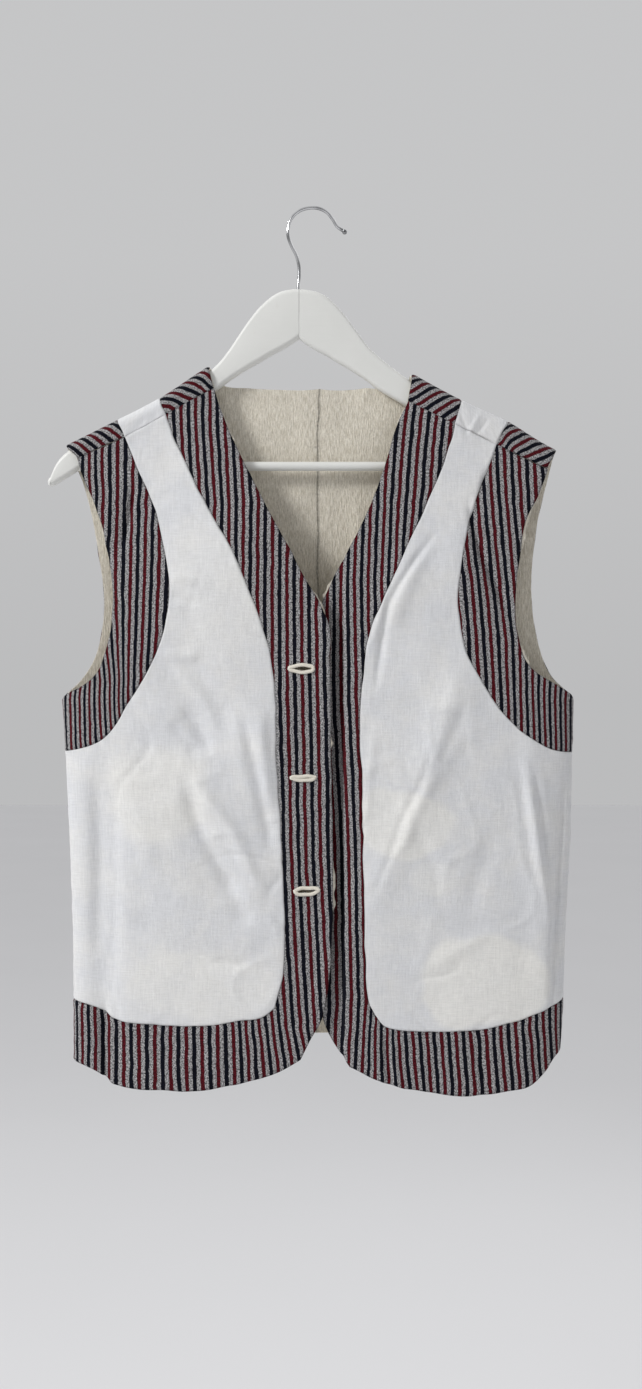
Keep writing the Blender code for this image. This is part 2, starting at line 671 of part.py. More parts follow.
def buttonholes():
    """Corded rings round slits. A ring's cord follows two half circles joined by straight runs."""
    end_radius = (HOLE_HEIGHT - CORD_WIDTH) / 2
    straight = (HOLE_LENGTH - CORD_WIDTH) / 2 - end_radius
    turn = np.linspace(0, 2 * math.pi, HOLE_STEPS, endpoint=False) + math.pi / HOLE_STEPS
    ring = np.stack([np.cos(turn), np.sin(turn)], axis=1)
    line = ring * end_radius + np.stack([np.sign(ring[:, 0]) * straight, 0 * turn], axis=1)
    round_cord = np.linspace(0, 2 * math.pi, CORD_SIDES, endpoint=False)
    band = bpy.data.objects["front_right_band"]
    for hole in BUTTONHOLES:
        tilt = math.radians(hole.tilt)
        turned = np.array([[math.cos(tilt), math.sin(tilt)], [-math.sin(tilt), math.cos(tilt)]])
        path, aside = line @ turned, ring @ turned
        flat = flat_of(path + [hole.x, hole.z])
        centre = place(FRONT, flat)
        out = outward(FRONT, flat)
        point, across, up, _ = front_spot(hole.x, hole.z, False)
        sideways = aside[:, :1] * across + aside[:, 1:] * up
        swing = np.cos(round_cord)[None, :, None] * sideways[:, None] * CORD_WIDTH / 2
        lift = (np.sin(round_cord)[None, :, None] + 1) * out[:, None] * CORD_THICK / 2
        points = centre[:, None] + swing + lift + out[:, None] * GAP
        index = np.arange(HOLE_STEPS * CORD_SIDES).reshape(HOLE_STEPS, CORD_SIDES)
        after, beside = np.roll(index, -1, axis=0), np.roll(index, -1, axis=1)
        faces = np.stack([index, beside, np.roll(after, -1, axis=1), after], axis=-1).reshape(-1, 4)
        solid(f"buttonhole_{hole.name}", points.reshape(-1, 3), faces.tolist(), CREAM_CORD)
        bpy.ops.mesh.primitive_cube_add(size=1, location=point * MM, rotation=(0, -tilt, 0))
        slit = finished(bpy.context.object, f"slit_{hole.name}", STRIPED_COTTON, "cutters")
        slit.scale = (SLIT_LENGTH * MM, SLIT_DEPTH * MM, SLIT_HEIGHT * MM)
        cut(band, slit)


def buttons():
    for hole in BUTTONHOLES:
        point, _, _, out = front_spot(BUTTON_X, hole.z, True)
        centre = point + out * (BUTTON_LIFT + BUTTON_THICK / 2)
        turned = (math.atan2(-out[1], out[2]), 0, 0)
        button = rod(f"button_{hole.name}", centre, BUTTON_RADIUS, BUTTON_THICK, turned, BUTTON_PLASTIC)
        edge = button.modifiers.new("soft_edge", "BEVEL")
        edge.width = BUTTON_EDGE * MM
        edge.segments = 1


# The hanger


def arm_ring(x, top, under):
    """A hanger arm's upright section: a rectangle with round corners, seen along X."""
    half, tall = HANGER_THICK / 2, (top - under) / 2
    radius = min(HANGER_ROUNDING, tall * 0.95)
    turn = np.radians(np.concatenate([np.linspace(0, 90, 4) + quarter for quarter in (0, 90, 180, 270)]))
    y = np.cos(turn) * radius + np.repeat([1, -1, -1, 1], 4) * (half - radius)
    z = np.sin(turn) * radius + np.repeat([1, 1, -1, -1], 4) * (tall - radius) + (top + under) / 2
    return np.stack([np.full(16, x), y, z], axis=1)


def hanger_arm(name, sign, reach, top_column):
    """Half the hanger: a loft through the arm's sections, out from the middle."""
    rings = []
    for row in ARM_SECTIONS:
        x = HANGER_X + sign * max(row.out * reach, HANGER_SEAM)
        rings.append(arm_ring(x, getattr(row, top_column), row.under))
    count, around = len(rings), 16
    index = np.arange(count * around).reshape(count, around)
    following = np.roll(index, -1, axis=1)
    sides = np.stack([index[:-1], index[1:], following[1:], following[:-1]], axis=-1)
    faces = sides.reshape(-1, 4).tolist() + [index[0].tolist(), index[-1][::-1].tolist()]
    if sign > 0:
        faces = [face[::-1] for face in faces]
    return solid(name, np.vstack(rings), faces, PAINTED_WOOD)


def hanger():
    arms = [
        hanger_arm("hanger_right_half", -1, RIGHT_ARM_REACH, "top_right"),
        hanger_arm("hanger_left_half", 1, LEFT_ARM_REACH, "top_left"),
    ]
    crosswise = (0, math.pi / 2, 0)
    bar_length = BAR_OUT * (1 + LEFT_ARM_REACH)
    bar_centre = (HANGER_X - BAR_OUT * (1 - LEFT_ARM_REACH) / 2, 0, BAR_Z)
    rod("trouser_bar", bar_centre, BAR_RADIUS, bar_length, crosswise, PAINTED_WOOD)
    socket_size = (BAR_RADIUS + BAR_SOCKET, bar_length + 2 * BAR_SOCKET)
    socket = rod("bar_socket", bar_centre, *socket_size, crosswise, PAINTED_WOOD, "cutters")
    bore_foot = HOOK_LINE[0][1] - GAP
    bore_length = ARM_SECTIONS[0].top_right - bore_foot + HANGER_ROUNDING
    bore_centre = (HOOK_LINE[0][0], 0, bore_foot + bore_length / 2)
    bore_size = (WIRE_RADIUS + GAP, bore_length)
    bore = rod("hook_bore", bore_centre, *bore_size, (0, 0, 0), PAINTED_WOOD, "cutters", 16)
    for arm in arms:
        cut(arm, socket)
        cut(arm, bore)


def hook():
    """The bent wire with a round tip, from the wood up and round."""
    line = dense(HOOK_LINE, 2)
    curve = bpy.data.curves.new("hook", "CURVE")
    curve.dimensions = "3D"
    curve.bevel_depth = WIRE_RADIUS * MM
    curve.bevel_resolution = 2
    curve.use_fill_caps = True
    spline = curve.splines.new("POLY")
    spline.points.add(len(line) - 1)
    for point, (x, z) in zip(spline.points, line):
        point.co = (x * MM, 0, z * MM, 1)
    wire = bpy.data.objects.new("hook_wire", curve)
    bpy.data.collections["vest_on_hanger"].objects.link(wire)
    bpy.context.view_layer.update()
    mesh = bpy.data.meshes.new_from_object(wire.evaluated_get(bpy.context.evaluated_depsgraph_get()))
    bpy.data.objects.remove(wire)
    made = bpy.data.objects.new("hook", mesh)
    mesh.materials.clear()
    mesh.materials.append(material("hook", CHROME))
    bpy.data.collections["vest_on_hanger"].objects.link(made)
    weld = made.modifiers.new("close_ends", "WELD")
    weld.merge_threshold = 0.00001
    tip = HOOK_LINE[-1]
    bpy.ops.mesh.primitive_uv_sphere_add(
        segments=12, ring_count=8, radius=WIRE_TIP_RADIUS * MM, location=(tip[0] * MM, 0, tip[1] * MM)
    )
    ball = finished(bpy.context.object, "hook_tip", CHROME, "cutters")
    ball.hide_render = True
    ball.display_type = "WIRE"
    join = made.modifiers.new("round_tip", "BOOLEAN")
    join.operation = "UNION"
    join.object = ball


def build():
    for old in list(bpy.data.objects):
        bpy.data.objects.remove(old)
    for name in ("vest_on_hanger", "cutters"):
        bpy.context.scene.collection.children.link(bpy.data.collections.new(name))
    hanger()
    hook()
    vest()
    buttonholes()
    buttons()


build()
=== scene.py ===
"""The looks of a folk vest that hangs on a white wooden clothes hanger.

Every cloth piece is cut flat and laid on the same form as its solid, from the same sizes, on a finer
grid. It then gets the cloth's creases, its edges round down into the seams, and the seams pucker. Sizes
are in millimetres until a mesh is made, which is in metres. The origin is the inner top of the hook, +Z
is up, the fronts face -Y, and +X is the wearer's left.

A flat point is (u, p): u is measured along the cloth from the middle of the body towards the side seam,
and p is the height, carried on over the crest.
"""

import math
from collections import namedtuple

import bmesh
import bpy
import numpy as np
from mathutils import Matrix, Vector


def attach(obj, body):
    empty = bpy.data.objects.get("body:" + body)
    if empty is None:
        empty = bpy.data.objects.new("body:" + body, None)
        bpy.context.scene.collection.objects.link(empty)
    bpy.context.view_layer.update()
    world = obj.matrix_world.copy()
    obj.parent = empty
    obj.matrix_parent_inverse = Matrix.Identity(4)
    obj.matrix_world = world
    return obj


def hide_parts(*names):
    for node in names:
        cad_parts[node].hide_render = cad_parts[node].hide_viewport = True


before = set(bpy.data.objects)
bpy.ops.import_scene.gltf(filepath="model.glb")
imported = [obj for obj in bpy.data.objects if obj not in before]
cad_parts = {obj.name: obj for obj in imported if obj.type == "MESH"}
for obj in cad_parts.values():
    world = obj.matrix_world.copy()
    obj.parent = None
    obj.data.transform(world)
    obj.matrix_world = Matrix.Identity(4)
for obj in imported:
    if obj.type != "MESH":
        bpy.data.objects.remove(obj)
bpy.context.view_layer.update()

MM = 0.001
FRONT, BACK = -1, 1
SHARP_FROM = 50.0  # degrees between faces, from which their shared edge isn't shaded smooth

# Cloth and layers
CLOTH_WALL = 1.2
LINING_WALL = 1.0
GAP = 0.3
CREST_RADIUS = 11.5  # of the fold over the hanger
CREST_EXTRA = (math.pi / 2 - 1) * CREST_RADIUS  # arc length that the fold adds to its height
SETTLE = 200.0  # distance below the crest over which the cloth leaves the hanger for the body's depth
CREST_HELD = 40.0  # distance below the crest over which the hanger stops holding the cloth smooth
CREST_CREASED = 0.25  # share of the creases' height that is left on the crest
ROUNDNESS = 2.6  # exponent of the body's oval section
FLAT_OVAL = (230.0, 34.0)  # half sizes of the section that u is measured along
OVAL_STEPS = 600
SIDE = 400.0  # any x past the side means the side seam
SLOPE_STEP = 0.6  # each way along the cloth, to find which way it faces

# The body's sections, from the shoulders to the hem
Section = namedtuple("Section", "height centre half_width front_depth back_depth")
SECTIONS = (
    Section(-140, 6.5, 234, 22, 15),
    Section(-250, 6.5, 234, 26, 18),
    Section(-450, 6.5, 234, 32, 21),
    Section(-498, 7.4, 232, 33, 22),
    Section(-583, 8.4, 229, 34, 23),
    Section(-658, 7.5, 225.5, 34, 24),
    Section(-728, 6.9, 224, 34, 25),
    Section(-806, 4.6, 221.5, 34, 26),
)

# The crest of both shoulders, carried smoothly over the open neck: x, height
CREST = (
    (-224, -216.5), (-177, -193), (-137.5, -172.5), (-93.5, -144), (-60, -129), (0, -121), (60, -133),
    (92, -150.5), (137.5, -175), (180, -194.5), (210, -213), (225, -221),
)

# Large folds, as in the solids: less than 0 is a trough
Fold = namedtuple("Fold", "side x0 z0 x1 z1 width out")
FOLD_PAST, FOLD_FADE = 0.15, 0.4  # it goes this far past each end, and fades over this share of itself
FOLDS = (
    Fold(FRONT, -130, -410, -72, -486, 22, -3.5),
    Fold(FRONT, -115, -548, -77, -624, 20, -4),
    Fold(FRONT, -61, -456, -39, -555, 15, 3),
    Fold(FRONT, -188, -500, -186, -800, 13, -6),
    Fold(FRONT, -163, -258, -171, -314, 11, -3),
    Fold(FRONT, 96, -312, 66, -385, 13, 3.5),
    Fold(FRONT, 140, -420, 98, -522, 16, 3),
    Fold(FRONT, 123, -482, 55, -634, 15, 3.5),
    Fold(FRONT, 199, -480, 216, -740, 13, 5),
    Fold(FRONT, 145, -287, 181, -378, 12, -3),
    Fold(BACK, -70, -270, -40, -520, 24, -4.5),
    Fold(BACK, 84, -300, 58, -570, 26, -4.5),
    Fold(BACK, -150, -430, -95, -610, 20, 3.5),
    Fold(BACK, 165, -455, 118, -650, 20, -4),
    Fold(BACK, 0, -570, 18, -770, 26, 4),
)

# Creases: a line of x, height, the width of its bell and how far it stands out
Crease = namedtuple("Crease", "side line width out")
CREASES = (
    # right front, under the arm and across the chest
    Crease(FRONT, ((-139, -408), (-122, -410), (-97, -411)), 5, 1.2),
    Crease(FRONT, ((-132, -411), (-113, -429), (-95, -452), (-78, -488)), 6, 1.5),
    Crease(FRONT, ((-119, -453), (-101, -477), (-88, -502)), 5.5, -1.8),
    Crease(FRONT, ((-128, -468), (-108, -490), (-97, -501)), 5, -1.3),
    Crease(FRONT, ((-117, -511), (-108, -540), (-95, -576), (-74, -611), (-63, -634)), 6.5, -2.6),
    Crease(FRONT, ((-110, -508), (-95, -534), (-68, -570), (-52, -606), (-40, -632)), 6, 2.0),
    Crease(FRONT, ((-63, -450), (-53, -499), (-42, -547), (-34, -597)), 5.5, -1.9),
    Crease(FRONT, ((-46, -450), (-41, -504), (-35, -558)), 5, 1.0),
    Crease(FRONT, ((-80, -602), (-54, -656)), 9, -1.6),
    Crease(FRONT, ((-88, -681), (-54, -689)), 4, -0.9),
    Crease(FRONT, ((-128, -338), (-99, -343)), 4, 0.8),
    Crease(FRONT, ((-131, -356), (-99, -363)), 4, -0.8),
    Crease(FRONT, ((-144, -360), (-108, -367)), 5, 0.6),
    Crease(FRONT, ((-160, -250), (-165, -285), (-172, -318)), 2.6, -2.2),
    Crease(FRONT, ((-156, -255), (-160, -285), (-165, -312)), 3, 1.2),
    Crease(FRONT, ((-168, -540), (-150, -570), (-142, -610)), 9, 0.9),
    Crease(FRONT, ((-175, -640), (-120, -668), (-70, -700)), 10, -0.9),
    Crease(FRONT, ((-196, -505), (-192, -600), (-195, -700)), 6, -1.4),
    Crease(FRONT, ((-187, -716), (-187, -760), (-185, -820)), 2.6, -3.2),
    Crease(FRONT, ((-181, -716), (-181, -760), (-179, -820)), 3, 1.8),
    Crease(FRONT, ((-178, -520), (-176, -620), (-178, -712)), 5, -0.9),
    Crease(FRONT, ((-150, -752), (-138, -796)), 5, 0.8),
    Crease(FRONT, ((-96, -750), (-104, -798)), 6, -0.8),
    # left front, along the neck band and down from the chest
    Crease(
        FRONT,
        ((120, -290), (98, -318), (82, -342), (71, -363), (66, -387), (61, -419), (57, -455)),
        3.2,
        -1.3,
    ),
    Crease(FRONT, ((121, -300), (102, -322), (89, -345), (80, -370), (74, -400)), 5, 0.3),
    Crease(FRONT, ((160, -236), (154, -262), (152, -290)), 2.6, -1.2),
    Crease(FRONT, ((136, -414), (127, -441), (119, -468), (107, -504), (96, -529)), 4.5, 0.5),
    Crease(FRONT, ((143, -441), (127, -481), (110, -517)), 4.5, -0.7),
    Crease(
        FRONT,
        ((120, -462), (110, -492), (97, -526), (82, -556), (72, -585), (62, -611), (51, -635)),
        2.6,
        -0.9,
    ),
    Crease(FRONT, ((118, -505), (104, -530), (90, -560), (80, -590)), 4, 0.7),
    Crease(
        FRONT, ((191, -484), (197, -531), (203, -567), (208, -602), (214, -638), (217, -683)), 3.4, 1.5
    ),
    Crease(FRONT, ((186, -505), (190, -540), (196, -580), (203, -630)), 3, -1.1),
    Crease(FRONT, ((199, -500), (206, -544), (212, -593), (216, -620)), 2.8, -1.6),
    Crease(FRONT, ((231, -505), (227, -570), (222, -643), (219, -700), (218, -756)), 2.6, -2.4),
    Crease(FRONT, ((92, -560), (110, -600), (120, -650)), 6, -0.7),
    Crease(FRONT, ((60, -470), (52, -520), (50, -570)), 4, 0.7),
    Crease(FRONT, ((134, -186), (141, -203), (146, -216)), 2.4, -0.6),
    Crease(FRONT, ((156, -184), (150, -197), (141, -212)), 2.4, 0.7),
    Crease(FRONT, ((163, -188), (158, -199), (148, -211)), 2.2, -0.6),
    Crease(FRONT, ((141, -262), (146, -287), (155, -320), (170, -352), (184, -385)), 3, -2.4),
    Crease(FRONT, ((150, -280), (163, -322), (177, -350)), 4, 1.5),
    Crease(FRONT, ((68, -748), (69, -775), (72, -801)), 3, -1.8),
    Crease(FRONT, ((74, -748), (76, -775), (78, -801)), 3.5, 1.0),
    Crease(FRONT, ((98, -697), (137, -671), (160, -661), (187, -668), (206, -678)), 7, 0.8),
    Crease(FRONT, ((150, -752), (156, -798)), 5, -0.9),
    Crease(FRONT, ((188, -745), (193, -792)), 5, 0.9),
    Crease(FRONT, ((170, -560), (150, -610), (140, -650)), 9, -0.9),
    # the bands at the neck and down the front edges
    Crease(FRONT, ((-2, -640), (4, -690), (-8, -730)), 5, -0.8),
    Crease(FRONT, ((-60, -262), (-48, -292)), 5, 0.6),
    Crease(FRONT, ((64, -246), (78, -262)), 5, 0.7),
    Crease(FRONT, ((26, -560), (34, -610), (30, -660)), 5, -0.8),
    # back
    Crease(BACK, ((-120, -262), (-96, -330), (-84, -400)), 7, 1.6),
    Crease(BACK, ((-138, -330), (-118, -380), (-106, -440)), 6, -1.7),
    Crease(BACK, ((-150, -452), (-120, -500), (-84, -560), (-66, -612)), 6.5, -2.0),
    Crease(BACK, ((-160, -486), (-134, -536), (-104, -590)), 6, 1.7),
    Crease(BACK, ((-60, -300), (-44, -370), (-40, -450)), 7, 1.2),
    Crease(BACK, ((40, -262), (46, -350), (38, -430)), 6, -1.3),
    Crease(BACK, ((126, -270), (104, -340), (92, -420)), 6.5, 1.7),
    Crease(BACK, ((152, -420), (132, -470), (104, -540), (92, -590)), 6, -2.1),
    Crease(BACK, ((166, -470), (144, -520), (128, -580)), 6, 1.5),
    Crease(BACK, ((-20, -480), (-8, -560), (-14, -640)), 8, -1.3),
    Crease(BACK, ((196, -520), (206, -600), (212, -690)), 5, 1.8),
    Crease(BACK, ((-196, -520), (-200, -610), (-208, -700)), 5, -1.8),
    Crease(BACK, ((-120, -640), (-60, -672), (-20, -676)), 6, 1.0),
    Crease(BACK, ((60, -660), (120, -640), (160, -648)), 6, -1.0),
    Crease(BACK, ((-96, -706), (-102, -762)), 5, 0.9),
    Crease(BACK, ((84, -704), (78, -760)), 5, -0.9),
    Crease(BACK, ((150, -706), (156, -762)), 5, 0.8),
)
CREASE_FADE = 0.28  # share of a crease over which each end fades
CREASE_DEPTH = 2.1  # every crease's height is its own times this
CREASE_STEPS = 4  # a span of its line

# Smooth random relief: how far apart its numbers lie across and down, and its height
RUMPLES = ((62, 90, 1.15), (24, 36, 0.48), (11, 15, 0.16))
PUCKERS = ((4.5, 4.5, 1.0),)
WANDERS = ((9, 9, 1.0), (30, 30, 1.0))
CRINKLES = ((3.5, 20, 0.2), (11, 60, 0.24), (30, 110, 0.8))
SHOW_EDGES = ((26, 26, 1.0), (9, 9, 0.4))
RELIEF_GAIN = 1.8  # a spline through random numbers is flatter than they are

# Small sharp creases: how far apart the numbers behind them lie across and down, their width and height
CRUMPLES = ((44, 60, 0.16, 1.2), (25, 34, 0.2, 0.8), (38, 30, 0.14, -1.1))
CRUMPLE_PATCHES = 2  # how much larger the random patches are in which they show
CRUMPLE_SHARPNESS = 0.8  # of the patches' edges

# The maps of relief, and what their random numbers start from
RELIEF_STEP = 1.0
RELIEF_LOW = (-252.0, -842.0)
RELIEF_SIZE = (504, 752)
RUMPLE_SEED, CRUMPLE_SEED, CRUMPLE_SEEDS_APART = 40, 60, 10
PUCKER_SEED, CRINKLE_SEED, WANDER_SEEDS, SHOW_SEED = 7, 11, (17, 19), 23

# Edges and seams
EDGE_ROUND = 1.9  # the cloth rounds down over this distance
EDGE_DROP = 0.8
PUCKER_OUT = 0.28
PUCKER_REACH = 6.0
EDGE_WANDERS = 0.3  # seams and hems aren't cut dead straight
WANDER_REACH = 7.0
SEAM_SHADE = 1.1  # how far from an edge the cloth's colour is darkened: painted shade in the seams and hems
FAR_FROM_EDGE = 200.0

# The lining's centre back seam, as times the other seams, with how far its painted seam shade reaches, and
# its crinkle
LINING_WANDERS, LINING_DROP, LINING_SHADE = 3, 0.3, 1.4
CRINKLE_AT_SEAM = 0.4  # share of the crinkle's height that is left at the seam
CRINKLE_REACH = 12.0
CRINKLE_LOW = 0.9  # the lining's ridges stay this far under the back's inner face

# The left front tucks in under the right one
TUCK_DEPTH = 15.5
TUCK_STARTS_X = 31.0  # level with the form here
TUCK_FULL_X = 28.0
TUCK_TOP = (-300.0, -395.0)  # from none to full, going down the neck edge
TUCK_HEM = (-640.0, -730.0)  # from full to TUCK_HEM_SHARE
TUCK_HEM_SHARE = 0.5

# Outlines, as x, height from the shoulder down. A corner between two curves is a shared name.
SHOULDER_SEAM = {  # on the front, from the armhole to the neck
    "right": ((-212.5, -229.5), (-169, -210), (-132, -189.5), (-88, -165)),
    "left": ((215.5, -239.5), (168.5, -217), (131, -199), (88, -177.5)),
}
FRONT_NECK = {
    "right": (
        (-77.5, -197.5), (-63, -229), (-48.5, -259), (-28, -297), (-8, -335.5), (9, -365.5),
        (16.5, -382),
    ),
    "left": (
        (79, -197.5), (70.5, -226.5), (59, -261.5), (48, -286), (33.5, -315), (21, -340), (5, -374),
    ),
}
FRONT_EDGE = {
    "right": (
        (18, -396), (18, -450), (18, -519), (20, -590), (20.5, -629), (18, -683), (11, -733),
        (0, -755),
    ),
    "left": ((-1.5, -414), (-2.5, -519), (-1.5, -621), (0.5, -684), (11, -735), (23.5, -762.5)),
}
FRONT_CORNER = {"right": (-9.5, -772), "left": (35, -778)}
FRONT_HEM = {
    "right": (
        (-27.5, -783), (-63.5, -793), (-99.5, -800), (-144, -799.5), (-176, -796.5), (-193, -786),
        (-207, -781),
    ),
    "left": (
        (67, -793), (107, -801), (143, -804.5), (174.5, -802), (197, -798), (213, -786), (222, -774),
    ),
}
HEM_AT_SIDE = {"right": -778.0, "left": -767.0}
BAND_SEAM = {  # between the front band and the white panel
    "right": (
        (-125, -210), (-108.5, -246), (-90.5, -280.5), (-72.5, -312.5), (-54.5, -354), (-40, -396),
        (-33, -432), (-30, -518), (-26, -580), (-23, -647.5), (-24, -692.5),
    ),
    "left": (
        (125, -221), (116, -246), (101, -281.5), (82, -322.5), (62, -365.5), (51.5, -396), (46.5, -432),
        (44.5, -477), (46, -540), (47.5, -604.5), (49, -674.5), (51.5, -719.5),
    ),
}
PANEL_CORNER = {"right": (-32, -725), "left": (57.5, -732)}
PANEL_FOOT = {
    "right": (
        (-44, -734), (-63.5, -737), (-90.5, -741), (-144.5, -741), (-173, -738), (-187, -731),
        (-201, -726),
    ),
    "left": ((67.5, -743), (89, -746.5), (143, -746.5), (179, -740), (210, -731), (221, -726)),
}
PANEL_FOOT_AT_SIDE = {"right": -722.0, "left": -720.0}
FRONT_ARMHOLE = {
    "right": (
        (-204.5, -254.5), (-192, -284.5), (-183, -322.5), (-178.5, -363.5), (-185.5, -406.5),
        (-197, -429),
    ),
    "left": (
        (206.5, -263.5), (195, -288), (189.5, -316.5), (185, -359), (187.5, -395.5), (197, -418.5),
    ),
}
FRONT_ARM_SEAM = {  # between the armhole band and the white panel
    "right": (
        (-154.5, -246), (-141, -278.5), (-132.5, -313), (-128, -350.5), (-133.5, -391.5),
        (-145.5, -420.5), (-163.5, -450), (-181.5, -477), (-201, -491),
    ),
    "left": (
        (155.5, -251.5), (145.5, -280.5), (139.5, -310), (133, -355.5), (138.5, -403), (153, -432),
        (171, -459), (198, -483.5), (220, -495),
    ),
}
UNDERARM = {"right": -450.0, "left": -450.0}
ARM_SEAM_AT_SIDE = {"right": -497.0, "left": -497.5}

# The same curves on the back, after they cross the crest
CREST_CROSSINGS = {  # armhole edge, armhole seam, neck seam, neck edge
    "right": (-224.0, -177.0, -137.5, -93.5),
    "left": (224.5, 180.0, 137.5, 92.0),
}
BACK_NECK = {
    "right": ((-82.5, -159), (-56.5, -162.5), (-10, -164.5)),
    "left": ((87, -162), (59, -162.5), (27, -164.5)),
}
BACK_NECK_SEAM = {
    "right": ((-127, -196), (-107, -208), (-70, -214), (-30, -216)),
    "left": ((131, -199), (115, -210), (80, -215), (42, -216)),
}
BACK_ARMHOLE = {
    "right": ((-212, -245), (-204.5, -270), (-196, -316), (-191.5, -366), (-199, -408.5), (-213, -432)),
    "left": ((219, -243), (213.5, -265), (208, -293), (203.5, -348.5), (209, -394.5), (222, -428)),
}
BACK_ARM_SEAM = {
    "right": (
        (-160, -235), (-148, -275), (-138, -330), (-142, -392), (-158, -434), (-182, -468),
        (-206, -489),
    ),
    "left": ((166, -240), (155, -280), (145, -340), (150, -395), (165, -434), (190, -470), (218, -490)),
}
BACK_FOOT = {
    "right": ((-200, -715), (-120, -704), (-50, -700)),
    "left": ((208, -712), (130, -702), (60, -699.5)),
}
BACK_HEM = {
    "right": ((-200, -773), (-120, -764), (-50, -760.5)),
    "left": ((208, -765.5), (130, -762), (60, -760)),
}
CENTRE_BACK = {"neck": -164.5, "neck seam": -216.0, "foot": -699.0, "hem": -760.0}

# The solids' rows and columns, and how many finer steps each gets here
BAND_ROWS = 25
ARM_ROWS = 13
PANEL_COLUMNS = 9
BAND_COLUMNS = 3
UNDERARM_SHARE = 0.71  # the first ARM_ROWS rows take this share of a front's length
FRONT_EASE = 1.35  # how much closer those rows come towards the underarm
CREST_ROWS = 8  # short rows where a back piece crosses the crest
CREST_STEP = 6.3
SIDE_COUNT, SIDE_STEP = 3, 7.0  # short columns where the cloth turns at the side seam
BACK_NECK_ROWS = 13
BACK_ARM_ROWS = 19
BACK_SIDE_ROWS = 8
BACK_WAIST = -600.0  # at the centre back, where the underarm's row ends
BACK_EASE = 2.0
HEM_COLUMNS = 3
FRONT_FINE, BACK_FINE, LINING_FINE = 10, 8, 6
NEAR_EDGE = (0, 0.22, 0.5)  # closer lines beside each border, in fine steps

# Stripes: red ones are numbered from the middle outwards, and a row gives the x of some at a height
STRIPE_REPEAT = 13.6
StripeChart = namedtuple("StripeChart", "numbers rows")
StripeRow = namedtuple("StripeRow", "height places")
STRIPES = {
    "front_right_band": StripeChart(
        (0, 8, 12, 15),
        (
            StripeRow(-181, (-196.4, -91.7, -39.3, 0)),
            StripeRow(-271, (-191.7, -86.8, -34.4, 5)),
            StripeRow(-360, (-192.5, -87.6, -34.7, 4.7)),
            StripeRow(-450, (-192.5, -87.6, -34.3, 6.2)),
            StripeRow(-585, (-188.9, -84, -30.3, 8.5)),
            StripeRow(-647, (-186.3, -79.6, -28, 11.5)),
            StripeRow(-710, (-184.5, -74.2, -24.4, 14.6)),
            StripeRow(-742, (-182.2, -69.3, -22.2, 17.3)),
            StripeRow(-773, (-182.2, -68.4, -16.7, 22.6)),
            StripeRow(-800, (-182.2, -67.5, -13.2, 26.2)),
        ),
    ),
    "front_left_band": StripeChart(
        (-1, 1, 4, 8, 13),
        (
            StripeRow(-181, (17.3, 45.1, 87.2, 142.8, 212.7)),
            StripeRow(-217, (16.4, 42.4, 83.6, 138.8, 208.2)),
            StripeRow(-271, (17.3, 41.5, 79.1, 134.7, 203.8)),
            StripeRow(-342, (15, 39.2, 75.5, 124, 184)),
            StripeRow(-450, (14.1, 40.9, 80.9, 132, 196.6)),
            StripeRow(-540, (19.5, 44.6, 81.8, 132.9, 196.6)),
            StripeRow(-629, (22.6, 46.9, 84.5, 132.9, 196.6)),
            StripeRow(-719, (23.5, 49.5, 80, 130.2, 196.6)),
            StripeRow(-746, (22.6, 47.8, 78.2, 129.8, 197.5)),
            StripeRow(-773, (21.3, 46.4, 80.2, 131.6, 200)),
            StripeRow(-800, (20, 45.1, 82.7, 133.6, 202.4)),
        ),
    ),
    "front_right_armhole": StripeChart(
        (0, 4, 6, 8),
        (
            StripeRow(-235, (-246, -189.9, -161.2, -134.3)),
            StripeRow(-271, (-243, -188.5, -162.5, -136.5)),
            StripeRow(-325, (-238, -190.7, -162.5, -136.9)),
            StripeRow(-360, (-229, -188.1, -162.9, -137.8)),
            StripeRow(-396, (-219.4, -184.5, -163.8, -139.2)),
            StripeRow(-432, (-217.6, -180.9, -164.3, -142.3)),
            StripeRow(-486, (-217.6, -180, -163.8, -144.1)),
        ),
    ),
    "front_left_armhole": StripeChart(
        (0, 2, 4, 7),
        (
            StripeRow(-217, (133.8, 161.2, 188.5, 229.8)),
            StripeRow(-271, (137.9, 164.3, 190.8, 230.7)),
            StripeRow(-325, (142.8, 168.3, 194.8, 233.3)),
            StripeRow(-360, (146.4, 172.4, 197.5, 234.2)),
            StripeRow(-396, (148.6, 175.3, 200.2, 235.1)),
            StripeRow(-450, (151.8, 177.8, 200.2, 230.7)),
            StripeRow(-495, (152.7, 178.7, 202, 231.6)),
        ),
    ),
}
BACK_PHASES = {"back_neck": 0.3, "back_hem": 0.05, "back_right_armhole": 0.6, "back_left_armhole": 0.2}

# Where the layers under the white cotton show through as warm ovals: x, height and half sizes
ShowThrough = namedtuple("ShowThrough", "side x z half_width half_height soft amount")
SHOW_THROUGH = (
    ShowThrough(FRONT, -138, -534, 44, 44, 0.45, 0.7),
    ShowThrough(FRONT, -95, -706, 66, 30, 0.5, 0.5),
    ShowThrough(FRONT, -84, -352, 46, 62, 0.7, 0.4),
    ShowThrough(FRONT, 84, -562, 46, 30, 0.25, 0.8),
    ShowThrough(FRONT, 62, -556, 22, 26, 0.4, 0.8),
    ShowThrough(FRONT, 158, -703, 58, 43, 0.2, 0.9),
    ShowThrough(FRONT, 112, -610, 22, 16, 0.5, 0.4),
    ShowThrough(BACK, -90, -500, 52, 48, 0.35, 0.8),
    ShowThrough(BACK, 96, -630, 58, 40, 0.3, 0.8),
    ShowThrough(BACK, 60, -350, 44, 56, 0.6, 0.5),
)
SHOW_RAGGED = 0.09  # how far an oval's edge wanders, as a share of its size
SHOW_AT_EDGE = 0.5

